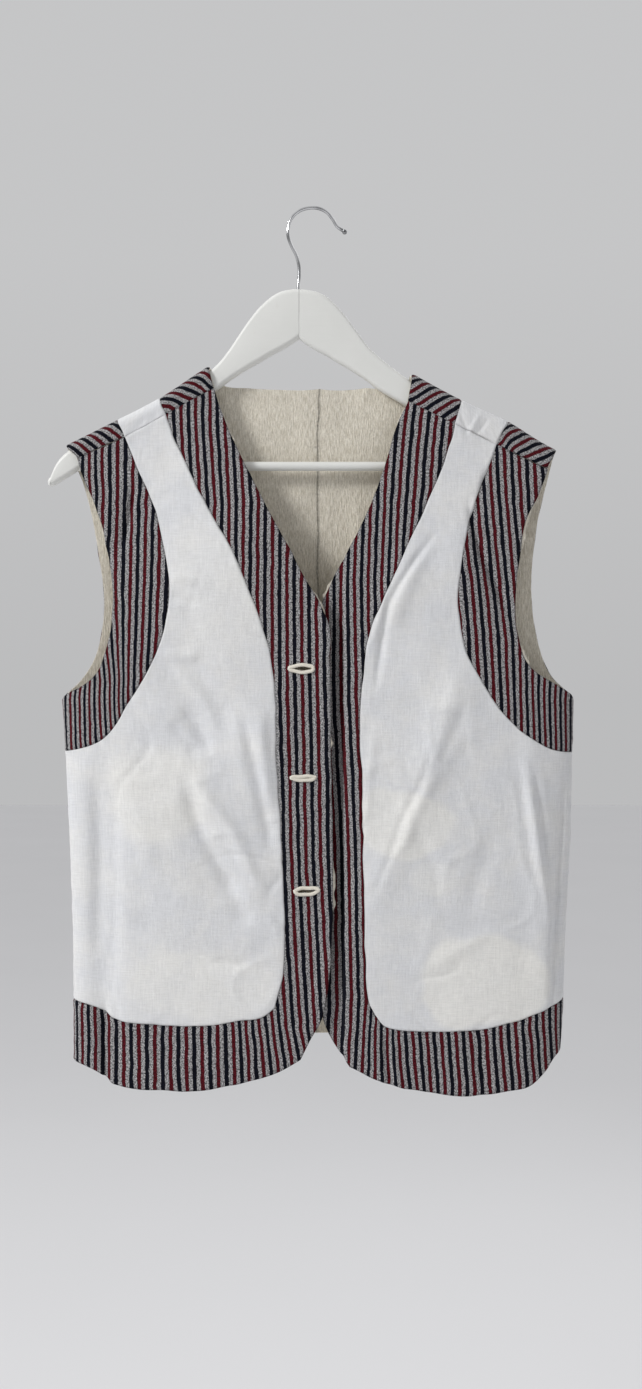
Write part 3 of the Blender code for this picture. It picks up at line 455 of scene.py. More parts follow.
# Buttonholes on the right front, and the buttons hidden under it on the left one
Buttonhole = namedtuple("Buttonhole", "name x z tilt")
BUTTONHOLES = (
    Buttonhole("top", -8.5, -421.5, 0),
    Buttonhole("middle", -7, -519.5, 0),
    Buttonhole("bottom", -3.5, -620.5, 4),
)
HOLE_LENGTH, HOLE_HEIGHT = 24.5, 9.5
HOLE_OPENINGS = {"top": 1.0, "middle": 0.55, "bottom": 0.95}  # share of the whole height
CORD_WIDTH, CORD_THICK = 3.2, 2.3
SLIT_LENGTH, SLIT_HEIGHT = 18.0, 4.0
HOLE_STEPS, CORD_SIDES = 400, 16
HOLE_WOBBLES = ((0.35, 2, 1), (0.2, 5, 2))  # height, waves in a turn, and how far they shift by hole
STITCHES, STITCH_OUT, STITCH_SLANT = 50, 0.22, 1.4
CORD_SINKS = 0.5
BUTTON_X = 7.0
BUTTON_LIFT = 0.6
BUTTON_THICK = 2.4
BUTTON_STEPS, BUTTON_SIDES = 4, 72
BUTTON_PROFILE = (  # distance from the middle, and height above it, of a button with a raised rim
    (0.01, 0.55), (5.2, 0.6), (6.0, 0.75), (6.6, 1.1), (7.4, 1.2), (8.3, 1.1), (8.8, 0.7), (9.0, 0.0),
    (8.8, -0.7), (8.2, -1.15), (7.0, -1.2), (0.01, -1.2),
)

# The hanger
HANGER_X = -10.9  # its middle, where the two halves meet
HANGER_THICK = 12.0
HANGER_ROUNDING = 5.0
HANGER_SEAM = 0.15  # each half stops this far from the middle
ArmSection = namedtuple("ArmSection", "out top_right top_left under")
ARM_SECTIONS = (  # out is the distance from the middle
    ArmSection(0, -73.3, -73.6, -119),
    ArmSection(8, -73.8, -74.2, -124.5),
    ArmSection(17.5, -76.1, -76.2, -130),
    ArmSection(27, -81.8, -81.2, -135),
    ArmSection(36, -90, -89.5, -140.5),
    ArmSection(45, -101, -100, -145.5),
    ArmSection(54, -114, -112, -151),
    ArmSection(64, -129, -125, -157.5),
    ArmSection(74, -141.5, -134.6, -165),
    ArmSection(85, -151, -143.4, -171.5),
    ArmSection(100, -159.5, -154.3, -180),
    ArmSection(125, -175.5, -172.5, -194),
    ArmSection(150, -189.5, -189, -208.5),
    ArmSection(180, -204, -204, -226),
    ArmSection(200, -214.5, -214.5, -238),
    ArmSection(211, -221.5, -221.5, -245),
    ArmSection(219, -229, -229, -250),
    ArmSection(224, -237, -237, -253),
    ArmSection(227.5, -246, -246, -254),
)
RIGHT_ARM_REACH, LEFT_ARM_REACH = 1.0, 0.975
ARM_STEPS, ARM_CORNER_STEPS = 8, 8
ARM_END_ROUND, ARM_END_STEPS = 2.5, 6
ARM_END_SHARE = 0.02  # of its size, where the round end closes
ROUNDEST = 0.95  # a corner's radius, as a share of half the thinner side
BAR_Z = -235.5
BAR_RADIUS = 4.2
BAR_OUT = 203.0  # each end, from the middle, let into the arm
BAR_RINGS, BAR_SIDES = 60, 40
WIRE_RADIUS = 1.5
WIRE_TIP_RADIUS = 2.3
WIRE_STEPS, WIRE_SIDES = 12, 28
CAP_STEPS, BALL_STEPS = 6, 16
THINNEST = 0.02  # a tube's radius at its very end
HOOK_LINE = (
    (-11.7, -93), (-11.7, -82), (-11.7, -72), (-10.8, -61), (-11, -52), (-13.5, -42), (-18, -33),
    (-21, -24), (-20.5, -15.5), (-17, -7), (-10, -1), (-1, 1.5), (7, 1), (14.5, -2.5), (20, -9),
    (24, -15.5), (29.5, -19.5),
)

# The fronts' lining, turned in along the edges: the stretch of edge, which way is out of the cloth along
# it, and how far the lining peeks past the edge at each height, where less than 0 is hidden
Facing = namedtuple("Facing", "name edge turn peeks")
FACINGS = (
    Facing(
        "front_right_facing",
        (SHOULDER_SEAM["right"][3], *FRONT_NECK["right"], *FRONT_EDGE["right"]),
        1,
        (
            (-160, -0.4), (-186, 0.5), (-212, 0.8), (-222, -0.9), (-340, -0.9), (-352, 0.3),
            (-366, 1.3), (-378, -0.7), (-478, -0.7), (-488, 1.0), (-498, -0.8), (-588, -0.8),
            (-602, 1.4), (-632, 1.6), (-642, -0.8), (-760, -0.9),
        ),
    ),
    Facing(
        "front_left_facing",
        (SHOULDER_SEAM["left"][3], *FRONT_NECK["left"]),
        -1,
        ((-160, -0.5), (-196, 0.5), (-208, -0.9), (-336, -0.9), (-346, 0.9), (-362, 1.0), (-372, -0.9)),
    ),
    Facing(
        "front_left_arm_facing",
        (SHOULDER_SEAM["left"][0], *FRONT_ARMHOLE["left"]),
        1,
        (
            (-230, -0.6), (-246, 0.7), (-262, 1.2), (-274, 0.4), (-290, 1.5), (-312, 1.0), (-322, -0.8),
            (-384, -0.8), (-400, 0.8), (-416, 0.9), (-430, -0.4), (-446, 0.8),
        ),
    ),
)
FACING_NAMES = tuple(facing.name for facing in FACINGS)
FACING_WIDTH, FACING_WALL = 12.0, 0.6
FACING_ROWS, FACING_COLUMNS = 700, 16
FACING_SHOWS = 1.7  # every peek is its own times this
FACING_RAGGED = 0.35  # share of a peek that varies at random
FACING_RAGGED_ACROSS = 3  # and how much faster than the pucker map across

# Cuts: the flat size of each piece, and what carries it
Cut = namedtuple("Cut", "width length held rests_on")


# Curves


def dense(points, steps=24):
    """A smooth line through the points: a centripetal spline, with this many steps a span."""
    points = np.array(points, float)
    before, after = 2 * points[0] - points[1], 2 * points[-1] - points[-2]
    p = np.vstack([before, points, after])
    knots = np.concatenate([[0], np.cumsum(np.sqrt(np.linalg.norm(np.diff(p, axis=0), axis=1)))])
    line = []
    for i in range(1, len(p) - 2):
        t = np.linspace(knots[i], knots[i + 1], steps, endpoint=False)[:, None]
        k = knots[i - 1 : i + 3]
        a = [
            ((k[j + 1] - t) * p[i - 1 + j] + (t - k[j]) * p[i + j]) / (k[j + 1] - k[j])
            for j in range(3)
        ]
        b = [((k[j + 2] - t) * a[j] + (t - k[j]) * a[j + 1]) / (k[j + 2] - k[j]) for j in range(2)]
        line.append(((k[2] - t) * b[0] + (t - k[1]) * b[1]) / (k[2] - k[1]))
    return np.vstack(line + [p[-2:-1]])


def length_along(line):
    """The length from the line's start to each of its points."""
    return np.concatenate([[0], np.cumsum(np.linalg.norm(np.diff(line, axis=0), axis=1))])


def at_shares(line, places):
    """Points of a line at these shares of its length."""
    length = length_along(line)
    return np.stack([np.interp(places * length[-1], length, values) for values in line.T], axis=1)


def shares(count, length=1.0, fine=0, step=0.0, fine_end=0, end_step=0.0):
    """Shares of a length, with some fine steps of a real size at the start and the end."""
    head = np.arange(fine) * step / length
    tail = 1 - np.arange(fine_end)[::-1] * end_step / length
    start, end = fine * step / length, 1 - fine_end * end_step / length
    middle = np.linspace(start, end, count + 1 - fine - fine_end)
    return np.concatenate([head, middle, tail])


def eased(count, power):
    """Shares from 0 to 1 whose steps get shorter: one less a power of what is left."""
    return 1 - (1 - np.linspace(0, 1, count + 1)) ** power


def smoothstep(t):
    """0 below 0, 1 above 1, and a soft step between them: three t squared less two t cubed."""
    t = np.clip(t, 0, 1)
    return t * t * (3 - 2 * t)


def lines(count, fine):
    """Grid lines for so many of the solid's rows: fine to a row, and closer ones beside both borders."""
    near = np.array(NEAR_EDGE)
    return np.concatenate([near, np.arange(1, count * fine), count * fine - near[::-1]]) / fine


def on(line, places):
    """A function from a step of the solid's rows to the point there, given the rows' shares of it."""
    return lambda step: at_shares(line, np.interp(step, np.arange(len(places)), places))


def end_to_end(steps, *stretches):
    """Points along stretches laid end to end: each is a function of its own step, and a step count."""
    points, start = [], 0
    for stretch, count in stretches:
        inside = ((steps > start) | (start == 0)) & (steps <= start + count)
        points.append(stretch(steps[inside] - start))
        start += count
    return np.vstack(points)


# The form that the cloth lies on

SECTION_TABLE = np.array(SECTIONS, float)[::-1].T
CREST_LINE = dense(CREST).T
CREST_SLOPE = np.gradient(CREST_LINE[1], CREST_LINE[0])
TURN = np.linspace(0, math.pi / 2, OVAL_STEPS)
OVAL_X = np.sin(TURN) ** (2 / ROUNDNESS)
OVAL_Y = np.cos(TURN) ** (2 / ROUNDNESS)
OVAL_LENGTH = length_along(np.stack([OVAL_X * FLAT_OVAL[0], OVAL_Y * FLAT_OVAL[1]], axis=1))
ARC = OVAL_LENGTH[-1]  # from the middle to the side seam, along the cloth


def section(column, height):
    """One measure of the body's section at a height."""
    return np.interp(height, SECTION_TABLE[0], SECTION_TABLE[Section._fields.index(column)])


def crest(x):
    """The height of the fold over the hanger."""
    return np.interp(x, CREST_LINE[0], CREST_LINE[1])


def fold_out(side, x, z):
    """How far the folds stand out: each is a bell across its line, faded along it towards both ends."""
    out = np.zeros(np.broadcast(x, z).shape)
    for fold in FOLDS:
        dx, dz = fold.x1 - fold.x0, fold.z1 - fold.z0
        along = ((x - fold.x0) * dx + (z - fold.z0) * dz) / (dx * dx + dz * dz)
        across = ((x - fold.x0) * dz - (z - fold.z0) * dx) / math.hypot(dx, dz)
        begins = smoothstep((along + FOLD_PAST) / FOLD_FADE)
        fade = begins * smoothstep((1 + FOLD_PAST - along) / FOLD_FADE)
        out += np.where(side == fold.side, fold.out * fade * np.exp(-((across / fold.width) ** 2)), 0)
    return out


def tuck(x, z):
    """How far the left front's edge lies back from the form: soft steps across and down, multiplied."""
    in_x = smoothstep((TUCK_STARTS_X - x) / (TUCK_STARTS_X - TUCK_FULL_X))
    down = smoothstep((TUCK_TOP[0] - z) / (TUCK_TOP[0] - TUCK_TOP[1]))
    foot = 1 - (1 - TUCK_HEM_SHARE) * smoothstep((TUCK_HEM[0] - z) / (TUCK_HEM[0] - TUCK_HEM[1]))
    return TUCK_DEPTH * in_x * down * foot


# Relief: maps of heights over x and z, with a point every RELIEF_STEP


def spline_weights(count, cell):
    """Weights of a cubic B-spline through a lattice with this cell, for each of count map points."""
    place = np.arange(count) * RELIEF_STEP / cell
    whole = place.astype(int)
    f = place - whole
    table = np.zeros((count, whole[-1] + 4))
    cubics = ((1 - f) ** 3, 3 * f**3 - 6 * f**2 + 4, -3 * f**3 + 3 * f**2 + 3 * f + 1, f**3)
    for k, weight in enumerate(cubics):
        table[np.arange(count), whole + k] = weight / 6
    return table


def rumple_map(seed, rumples):
    """Smooth random heights: for each size, random numbers on a lattice, splined between its points."""
    random = np.random.default_rng(seed)
    total = np.zeros(RELIEF_SIZE)
    for across, down, out in rumples:
        in_x, in_z = spline_weights(RELIEF_SIZE[0], across), spline_weights(RELIEF_SIZE[1], down)
        total += out * RELIEF_GAIN * in_x @ random.normal(size=(in_x.shape[1], in_z.shape[1])) @ in_z.T
    return total


def crease_map(side):
    """The creases of one side: each is a bell of the distance to its line, faded along it at both ends."""
    x = RELIEF_LOW[0] + np.arange(RELIEF_SIZE[0])[:, None] * RELIEF_STEP
    z = RELIEF_LOW[1] + np.arange(RELIEF_SIZE[1])[None, :] * RELIEF_STEP
    total = np.zeros(RELIEF_SIZE)
    for crease in CREASES:
        if crease.side != side:
            continue
        line = dense(crease.line, CREASE_STEPS)
        length = length_along(line)
        nearest = np.full(RELIEF_SIZE, np.inf)
        along = np.zeros(RELIEF_SIZE)
        for start, end, begun in zip(line[:-1], line[1:], length):
            run = end - start
            reach = np.linalg.norm(run)
            t = np.clip(((x - start[0]) * run[0] + (z - start[1]) * run[1]) / reach**2, 0, 1)
            distance = np.hypot(x - start[0] - t * run[0], z - start[1] - t * run[1])
            closer = distance < nearest
            nearest = np.where(closer, distance, nearest)
            along = np.where(closer, (begun + t * reach) / length[-1], along)
        fade = smoothstep(along / CREASE_FADE) * smoothstep((1 - along) / CREASE_FADE)
        total += CREASE_DEPTH * crease.out * fade * np.exp(-((nearest / crease.width) ** 2))
    return total


def crumple_map(seed):
    """Small sharp creases: bells along a random map's zero lines, shown where a second map is above 0."""
    total = np.zeros(RELIEF_SIZE)
    for across, down, width, out in CRUMPLES:
        lines_at = rumple_map(seed, ((across, down, 1.0),))
        patches = rumple_map(seed + 1, ((across * CRUMPLE_PATCHES, down * CRUMPLE_PATCHES, 1.0),))
        total += out * smoothstep(patches * CRUMPLE_SHARPNESS) * np.exp(-((lines_at / width) ** 2))
        seed += 2
    return total


def relief_map(side):
    """All that the creases and rumples of the front or back add up to."""
    crumples = crumple_map(CRUMPLE_SEED + CRUMPLE_SEEDS_APART * side)
    return crease_map(side) + rumple_map(RUMPLE_SEED + side, RUMPLES) + crumples


RELIEF = {side: relief_map(side) for side in (FRONT, BACK)}
PUCKER_MAP = rumple_map(PUCKER_SEED, PUCKERS)
CRINKLE_MAP = rumple_map(CRINKLE_SEED, CRINKLES)
WANDER_MAPS = [rumple_map(seed, WANDERS) for seed in WANDER_SEEDS]
SHOW_MAP = rumple_map(SHOW_SEED, SHOW_EDGES)


def read_map(heights, x, z):
    """A map's height at x, z, straight between its four nearest points."""
    column = np.clip((x - RELIEF_LOW[0]) / RELIEF_STEP, 0, RELIEF_SIZE[0] - 1.001)
    row = np.clip((z - RELIEF_LOW[1]) / RELIEF_STEP, 0, RELIEF_SIZE[1] - 1.001)
    i, j = column.astype(int), row.astype(int)
    s, t = column - i, row - j
    low = heights[i, j] * (1 - s) + heights[i + 1, j] * s
    high = heights[i, j + 1] * (1 - s) + heights[i + 1, j + 1] * s
    return low * (1 - t) + high * t


def place(side, flat, tucked=False):
    """Lays flat points (u, p) of the front or back on the form.

    Across, the cloth follows the body's oval section at that height and turns on to the other side past
    the side seam. Near the crest it follows a quarter circle over the hanger, and a back piece turns on
    to the front there. Below, its depth grows smoothly from the hanger's to the section's.
    """
    u, p = flat[..., 0], flat[..., 1]
    share = np.abs(u) / ARC
    side = np.where(share > 1, -side, side)
    run = np.where(share > 1, 2 - share, share) * ARC
    reach = section("half_width", p) * np.sign(u) * np.interp(run, OVAL_LENGTH, OVAL_X)
    x = section("centre", p) + reach
    top = crest(x)
    below = top + CREST_EXTRA - p
    side = np.where(below < 0, -side, side)
    below = np.abs(below)
    turn = np.clip(below / CREST_RADIUS, 0, math.pi / 2)
    quarter = CREST_RADIUS * math.pi / 2
    z = np.where(below < quarter, top - CREST_RADIUS * (1 - np.cos(turn)), top + CREST_EXTRA - below)
    settled = smoothstep((below - quarter) / SETTLE)
    oval = np.interp(run, OVAL_LENGTH, OVAL_Y)
    body = oval * np.where(side == FRONT, section("front_depth", p), section("back_depth", p))
    depth = CREST_RADIUS * np.sin(turn) * (1 - settled) + body * settled
    creased = np.where(side == FRONT, read_map(RELIEF[FRONT], x, z), read_map(RELIEF[BACK], x, z))
    kept = CREST_CREASED + (1 - CREST_CREASED) * smoothstep(below / CREST_HELD)
    depth = depth + (fold_out(side, x, z) + creased * kept) * np.sqrt(oval)
    if tucked:
        depth = depth - tuck(x, z)
    return np.stack([x, side * depth, z], axis=-1)


def outward(side, flat, tucked=False):
    """Unit vectors out of the cloth, from small steps along u and p."""
    across = place(side, flat + [SLOPE_STEP, 0], tucked) - place(side, flat - [SLOPE_STEP, 0], tucked)
    up = place(side, flat + [0, SLOPE_STEP], tucked) - place(side, flat - [0, SLOPE_STEP], tucked)
    normal = -side * np.cross(across, up)
    return normal / np.linalg.norm(normal, axis=-1, keepdims=True)


def flat_of(points):
    """Flat points from x and height as seen from the front or back."""
    x, z = np.array(points, float).T
    drop = np.clip(crest(x) - z, 0, None)
    turned = CREST_RADIUS * np.arccos(np.clip(1 - drop / CREST_RADIUS, -1, 1))
    below = np.where(drop < CREST_RADIUS, turned, drop + CREST_EXTRA)
    p = crest(x) + CREST_EXTRA - below
    oval = np.clip(np.abs(x - section("centre", p)) / section("half_width", p), 0, 1)
    u = np.sign(x - section("centre", p)) * np.interp(oval, OVAL_X, OVAL_LENGTH)
    return np.stack([u, p], axis=1)


def x_of(flat):
    """The x of flat points, which is the same on the front and back."""
    run = np.abs(flat[..., 0])
    reach = section("half_width", flat[..., 1]) * np.interp(run, OVAL_LENGTH, OVAL_X)
    return section("centre", flat[..., 1]) + np.sign(flat[..., 0]) * reach


def over_crest(flat):
    """The same points of the front as flat points of the back, carried over the crest."""
    return np.stack([flat[..., 0], 2 * (crest(x_of(flat)) + CREST_EXTRA) - flat[..., 1]], axis=-1)


# Patches


def ruled(start, end, t):
    """Points straight between two, at the shares t."""
    return start + (end - start) * t[:, None]


def patch(first, last, start, end, s, t, open_end=True, open_until=1.0):
    """A grid filled in between four borders, with each point's distance to the nearest real edge.

    first and last run along it at the shares s, start and end across it at the shares t. A point is what
    lies between first and last at t, plus what lies between start and end at s, less the corners'
    share. The end is no edge where open_end is False, and last is one only up to the share open_until.
    """
    s, t = s[:, None, None], t[None, :, None]
    along = (1 - t) * first[:, None] + t * last[:, None]
    ends = (1 - s) * start[None] + s * end[None]
    corners = (1 - s) * ((1 - t) * first[0] + t * last[0]) + s * ((1 - t) * first[-1] + t * last[-1])
    grid = along + ends - corners
    down = np.linalg.norm(np.diff(grid, axis=0, prepend=grid[:1]), axis=2).cumsum(axis=0)
    across = np.linalg.norm(np.diff(grid, axis=1, prepend=grid[:, :1]), axis=2).cumsum(axis=1)
    to_end = down[-1:] - down if open_end else np.full(down.shape, np.inf)
    to_last = np.where(s[..., 0] <= open_until, across[:, -1:] - across, np.inf)
    edge = np.minimum.reduce([down, to_end, across, to_last])
    return np.concatenate([grid, edge[..., None]], axis=2)


def joined(patches):
    """The patches' points, each once, and their quads, all turned the same way in the flat."""
    points, quads, offset = [], [], 0
    for grid in patches:
        rows, columns = grid.shape[:2]
        index = offset + np.arange(rows * columns).reshape(rows, columns)
        corner = [index[:-1, :-1], index[1:, :-1], index[1:, 1:], index[:-1, 1:]]
        faces = np.stack([c.ravel() for c in corner], axis=1)
        flat = grid.reshape(-1, 3)
        one, two = (flat[faces[:, k] - offset] - flat[faces[:, 0] - offset] for k in (1, 3))
        if (one[:, 0] * two[:, 1] - one[:, 1] * two[:, 0]).sum() < 0:
            faces = faces[:, [0, 3, 2, 1]]
        points.append(flat)
        quads.append(faces)
        offset += rows * columns
    points = np.vstack(points)
    rounded = np.round(points[:, :2], 3)
    _, kept, index = np.unique(rounded, axis=0, return_index=True, return_inverse=True)
    return points[kept], index.reshape(-1)[np.vstack(quads)]


# Stripes


def stripe_numbers(name, flat):
    """Each flat point's place among the numbered stripes, straight between the chart's places."""
    if name in BACK_PHASES:
        x = x_of(flat)
        past = np.clip(flat[:, 1] - crest(x) - CREST_EXTRA, 0, None)
        slope = np.interp(x, CREST_LINE[0], CREST_SLOPE)
        mirrored = flat[:, 0] - 2 * slope / (1 + slope**2) * past  # across a fold that slopes
        return mirrored / STRIPE_REPEAT + BACK_PHASES[name]
    chart = STRIPES[name]
    rows = [flat_of([(x, row.height) for x in row.places]) for row in chart.rows]
    height = np.array([row[0, 1] for row in rows])[::-1]
    stripes = [np.interp(flat[:, 1], height, np.array([row[k, 0] for row in rows])[::-1])
               for k in range(len(chart.numbers))]
    number = chart.numbers[0] + (flat[:, 0] - stripes[0]) / STRIPE_REPEAT
    for k in range(len(stripes) - 1):
        share = (flat[:, 0] - stripes[k]) / (stripes[k + 1] - stripes[k])
        between = chart.numbers[k] + share * (chart.numbers[k + 1] - chart.numbers[k])
        number = np.where(share > 0, between, number)
    beyond = chart.numbers[-1] + (flat[:, 0] - stripes[-1]) / STRIPE_REPEAT
    return np.where(flat[:, 0] > stripes[-1], beyond, number)


def shows_through(side, points):
    """How much the cream lining shows through: ovals in x and height with soft, ragged edges."""
    x, z = points[:, 0], points[:, 2]
    total = np.zeros(len(points))
    for oval in SHOW_THROUGH:
        if oval.side == side:
            away = np.hypot((x - oval.x) / oval.half_width, (z - oval.z) / oval.half_height)
            away += SHOW_RAGGED * read_map(SHOW_MAP, x, z)
            total = np.maximum(total, oval.amount * smoothstep((1 - away) / oval.soft + SHOW_AT_EDGE))
    return total


# Shader maths


class Shade:
    """A shader socket. Arithmetic on it adds Math nodes, and node() adds any other."""

    def __init__(self, tree, socket=None):
        self.tree = tree
        self.socket = socket

    def node(self, kind, settings, values, output=0):
        """Adds a node: its settings first, with a ramp's stops as (place, colour), then its sockets."""
        made = self.tree.nodes.new("ShaderNode" + kind)
        for name, value in settings.items():
            if name == "stops":
                ramp = made.color_ramp
                ramp.elements[0].position, ramp.elements[0].color = value[0][0], (*value[0][1], 1)
                ramp.elements[1].position, ramp.elements[1].color = value[-1][0], (*value[-1][1], 1)
                for stop, colour in value[1:-1]:
                    ramp.elements.new(stop).color = (*colour, 1)
            else:
                setattr(made, name, value)
        for key, value in values.items():
            if isinstance(value, Shade):
                self.tree.links.new(value.socket, made.inputs[key])
            else:
                made.inputs[key].default_value = value
        return Shade(self.tree, made.outputs[output])

    def math(self, operation, *values):
        return self.node("Math", {"operation": operation}, dict(enumerate(values)))

    def __add__(self, other):
        return self.math("ADD", self, other)

    def __sub__(self, other):
        return self.math("SUBTRACT", self, other)

    def __rsub__(self, other):
        return self.math("SUBTRACT", other, self)

    def __mul__(self, other):
        return self.math("MULTIPLY", self, other)

    __radd__, __rmul__ = __add__, __mul__

    def clamped(self):
        return self.node("Clamp", {}, {0: self})

    def raised(self, low, gain):
        """0 up to low, and from there its excess times a gain, up to 1."""
        return ((self - low) * gain).clamped()

    def fraction(self):
        return self.math("FRACT", self)

    def wave(self, turns=1.0):
        """A sine of this value, in whole turns."""
        return self.math("SINE", self * (turns * 2 * math.pi))

    def mixed(self, one, two):
        """One colour turning into the other, with this value as the factor."""
        values = {0: self, 6: colour4(one), 7: colour4(two)}
        return self.node("Mix", {"data_type": "RGBA"}, values, 2)


def colour4(value):
    """A colour as a socket takes it, or the value that a socket is linked to."""
    return value if isinstance(value, Shade) else (*value, 1)


def socket_name(key):
    """The shader's name for a socket that Python spells in small letters with underscores."""
    return key.replace("_", " ").title().replace("Ior", "IOR")


def new_material(name, roughness, **constants):
    """A material, its shader with constants on its own sockets, and a Shade to start from."""
    made = bpy.data.materials.new(name)
    made.use_nodes = True
    tree = made.node_tree
    shader = tree.nodes["Principled BSDF"]
    shader.inputs["Roughness"].default_value = roughness
    for key, value in constants.items():
        shader.inputs[socket_name(key)].default_value = value
    return made, Shade(tree), shader


def wire(start, shader, **links):
    """Links each value to the shader's socket of that name."""
    for key, value in links.items():
        start.tree.links.new(value.socket, shader.inputs[socket_name(key)])


def cloth_place(start):
    """The cloth's own coordinates in metres, across and along, and as a vector."""
    uv = start.node("UVMap", {"uv_map": "cloth"}, {})
    return (*(start.node("SeparateXYZ", {}, {0: uv}, axis) for axis in range(2)), uv)


def object_place(start):
    """The object's own coordinates in metres, as a vector."""
    return start.node("TexCoord", {}, {}, 3)


def noise(start, vector, scale, detail=2.0, roughness=0.5, stretch=(1, 1, 1)):
    """Clouds with about scale to the metre, closer by stretch along each axis."""
    stretched = start.node("Mapping", {}, {"Vector": vector, "Scale": stretch})
    values = {"Vector": stretched, "Scale": scale, "Detail": detail, "Roughness": roughness}
    return start.node("TexNoise", {"noise_dimensions": "3D"}, values)


def fibres(start, uv, across, along, detail=2.0, roughness=0.6):
    """Noise with about so many specks to the metre across the cloth and along it."""
    return noise(start, uv, 1.0, detail, roughness, (across, along, 1))


def bump(start, height, distance, strength=1.0, under=None):
    """A normal bent by a height whose unit is this distance in metres, on top of another or none."""
    values = {"Height": height, "Distance": distance, "Strength": strength}
    if under is not None:
        values["Normal"] = under
    return start.node("Bump", {}, values)


def plain_weave(across, along, pitch):
    """Threads over and under: the product of two sines, one hump for each crossing."""
    return across.wave(0.5 / pitch) * along.wave(0.5 / pitch)


def multiplied(start, colour, level):
    """A colour made lighter or darker by a level."""
    grey = start.node("CombineColor", {}, {0: level, 1: level, 2: level})
    settings = {"data_type": "RGBA", "blend_type": "MULTIPLY"}
    return start.node("Mix", settings, {0: 1.0, 6: colour, 7: grey}, 2)


def painted_on(start, name):
    """A mesh attribute from 0 to 1: seam, how near an edge is, which darkens the colour as painted shade
    in seams and hems, or shows, how much the lining shows.
    """
    return start.node("Attribute", {"attribute_name": name}, {}, 2)


# Threads' pitches in metres, and colours from the darker or cooler to the lighter or warmer
WHITE_PITCH, STRIPED_PITCH, LINING_PITCH = 0.00052, 0.0006, 0.0007
COOL_WHITES = (0.75, 0.757, 0.775), (0.80, 0.797, 0.79)
WARM_WHITE = (0.875, 0.865, 0.83)
RED, NAVY = (0.085, 0.005, 0.010), (0.0025, 0.003, 0.009)
DARK_GREY, LIGHT_GREY = (0.08, 0.08, 0.084), (0.56, 0.55, 0.555)
# the lining's creams run from the crinkle's hollows to its ridges: the darker one is painted shade in the
# hollows
CREAMS = (0.60, 0.545, 0.44), (0.90, 0.85, 0.745)
CORD_CREAMS = (0.70, 0.65, 0.54), (0.93, 0.90, 0.83)
BUTTON_WHITES = (0.76, 0.735, 0.67), (0.84, 0.82, 0.76)
PAINT_WHITES = (0.735, 0.74, 0.71), (0.785, 0.785, 0.76)
BARE_WOOD = (0.62, 0.60, 0.55)
BRIGHT_METAL = (0.80, 0.81, 0.83), (0.95, 0.95, 0.96)
# painted dark reflection, along the wire's sides and in patches
PAINTED_DARK_REFLECTION = (0.055, 0.057, 0.06)
FLOOR_GREYS = (0.74, 0.74, 0.75), (0.77, 0.77, 0.78)

STRIPE_STOPS = (  # how far each place of a repeat is marl, from one navy stripe past the red to the next
    (0.125, 0), (0.137, 1), (0.368, 1), (0.380, 0), (0.620, 0), (0.632, 1), (0.863, 1), (0.875, 0),
)
RED_HALF_SHARE = 0.25  # of a repeat, each way from its middle, where a stripe is red and not navy

PAINTED_HIGHLIGHT_Y = -0.00135  # the wire's front, in metres, down which the painted highlight runs
PAINTED_HIGHLIGHT_PEAK, PAINTED_HIGHLIGHT_FALL = 1.25, 900  # how bright the painted highlight is there, and how fast it falls to painted dark reflection towards the sides, by the metre


def white_cotton():
    """Bleached plain weave: fine threads, thicker here and there, and warm where the lining shows."""
    made, start, shader = new_material("white_cotton", 0.86, sheen_weight=0.08, specular_ior_level=0.3)
    across, along, uv = cloth_place(start)
    weave = plain_weave(across, along, WHITE_PITCH)
    threads = (fibres(start, uv, 1800, 60) + fibres(start, uv, 60, 1800)) * 0.5
    uneven = noise(start, uv, 24.0, 4.0, 0.65)
    cool = uneven.raised(0.4, 4.0).mixed(*COOL_WHITES)
    base = (painted_on(start, "shows") * (0.75 + uneven * 0.5)).clamped().mixed(cool, WARM_WHITE)
    streaks = fibres(start, uv, 760, 50) * 1.2 + fibres(start, uv, 90, 900)
    # less the seam attribute: painted shade in the seams and hems
    level = 0.61 + threads * 0.36 + streaks * 0.20 + weave * 0.04 - painted_on(start, "seam") * 0.16
    crumple = bump(start, noise(start, uv, 55.0, 4.0, 0.6), 0.0016, 0.6)
    normal = bump(start, weave * 0.5 + threads * 1.6 + streaks * 0.8, 0.0003, 0.7, crumple)
    wire(start, shader, base_color=multiplied(start, base, level), normal=normal)
    return made


def striped_cotton():
    """Woven stripes in grey marl, navy and dark red, with the marl's light and dark flecks."""
    made, start, shader = new_material("striped_cotton", 0.9, sheen_weight=0.02, specular_ior_level=0.12)
    across, along, uv = cloth_place(start)
    wander = fibres(start, uv, 60, 60) - 0.5
    ragged = fibres(start, uv, 300, 900, 1.0, 0.5) - 0.5
    repeat = ((across + wander * 0.0024 + ragged * 0.0012) * (1000 / STRIPE_REPEAT) + 0.5).fraction()
    stops = [(stop, (marl, marl, marl)) for stop, marl in STRIPE_STOPS]
    is_marl = start.node("ValToRGB", {"stops": stops}, {0: repeat})
    is_red = start.math("LESS_THAN", start.math("ABSOLUTE", repeat - 0.5), RED_HALF_SHARE)
    flecks = fibres(start, uv, 1000, 620, roughness=0.7)
    salt = flecks.raised(0.4, 4.5)
    dark = multiplied(start, is_red.mixed(NAVY, RED), 0.35 + salt * 1.1)
    colour = is_marl.mixed(dark, salt.mixed(DARK_GREY, LIGHT_GREY))
    thread = fibres(start, uv, 1900, 40, 1.0, 0.5)
    weave = plain_weave(across, along, STRIPED_PITCH)
    # less the seam attribute: painted shade in the seams and hems
    level = 0.84 + thread * 0.3 + weave * 0.08 - painted_on(start, "seam") * 0.35
    crumple = bump(start, noise(start, uv, 70.0, 4.0, 0.6), 0.0013, 0.6)
    normal = bump(start, weave * 0.5 + flecks * 0.9, 0.0003, 0.7, crumple)
    wire(start, shader, base_color=multiplied(start, colour, level), normal=normal)
    return made


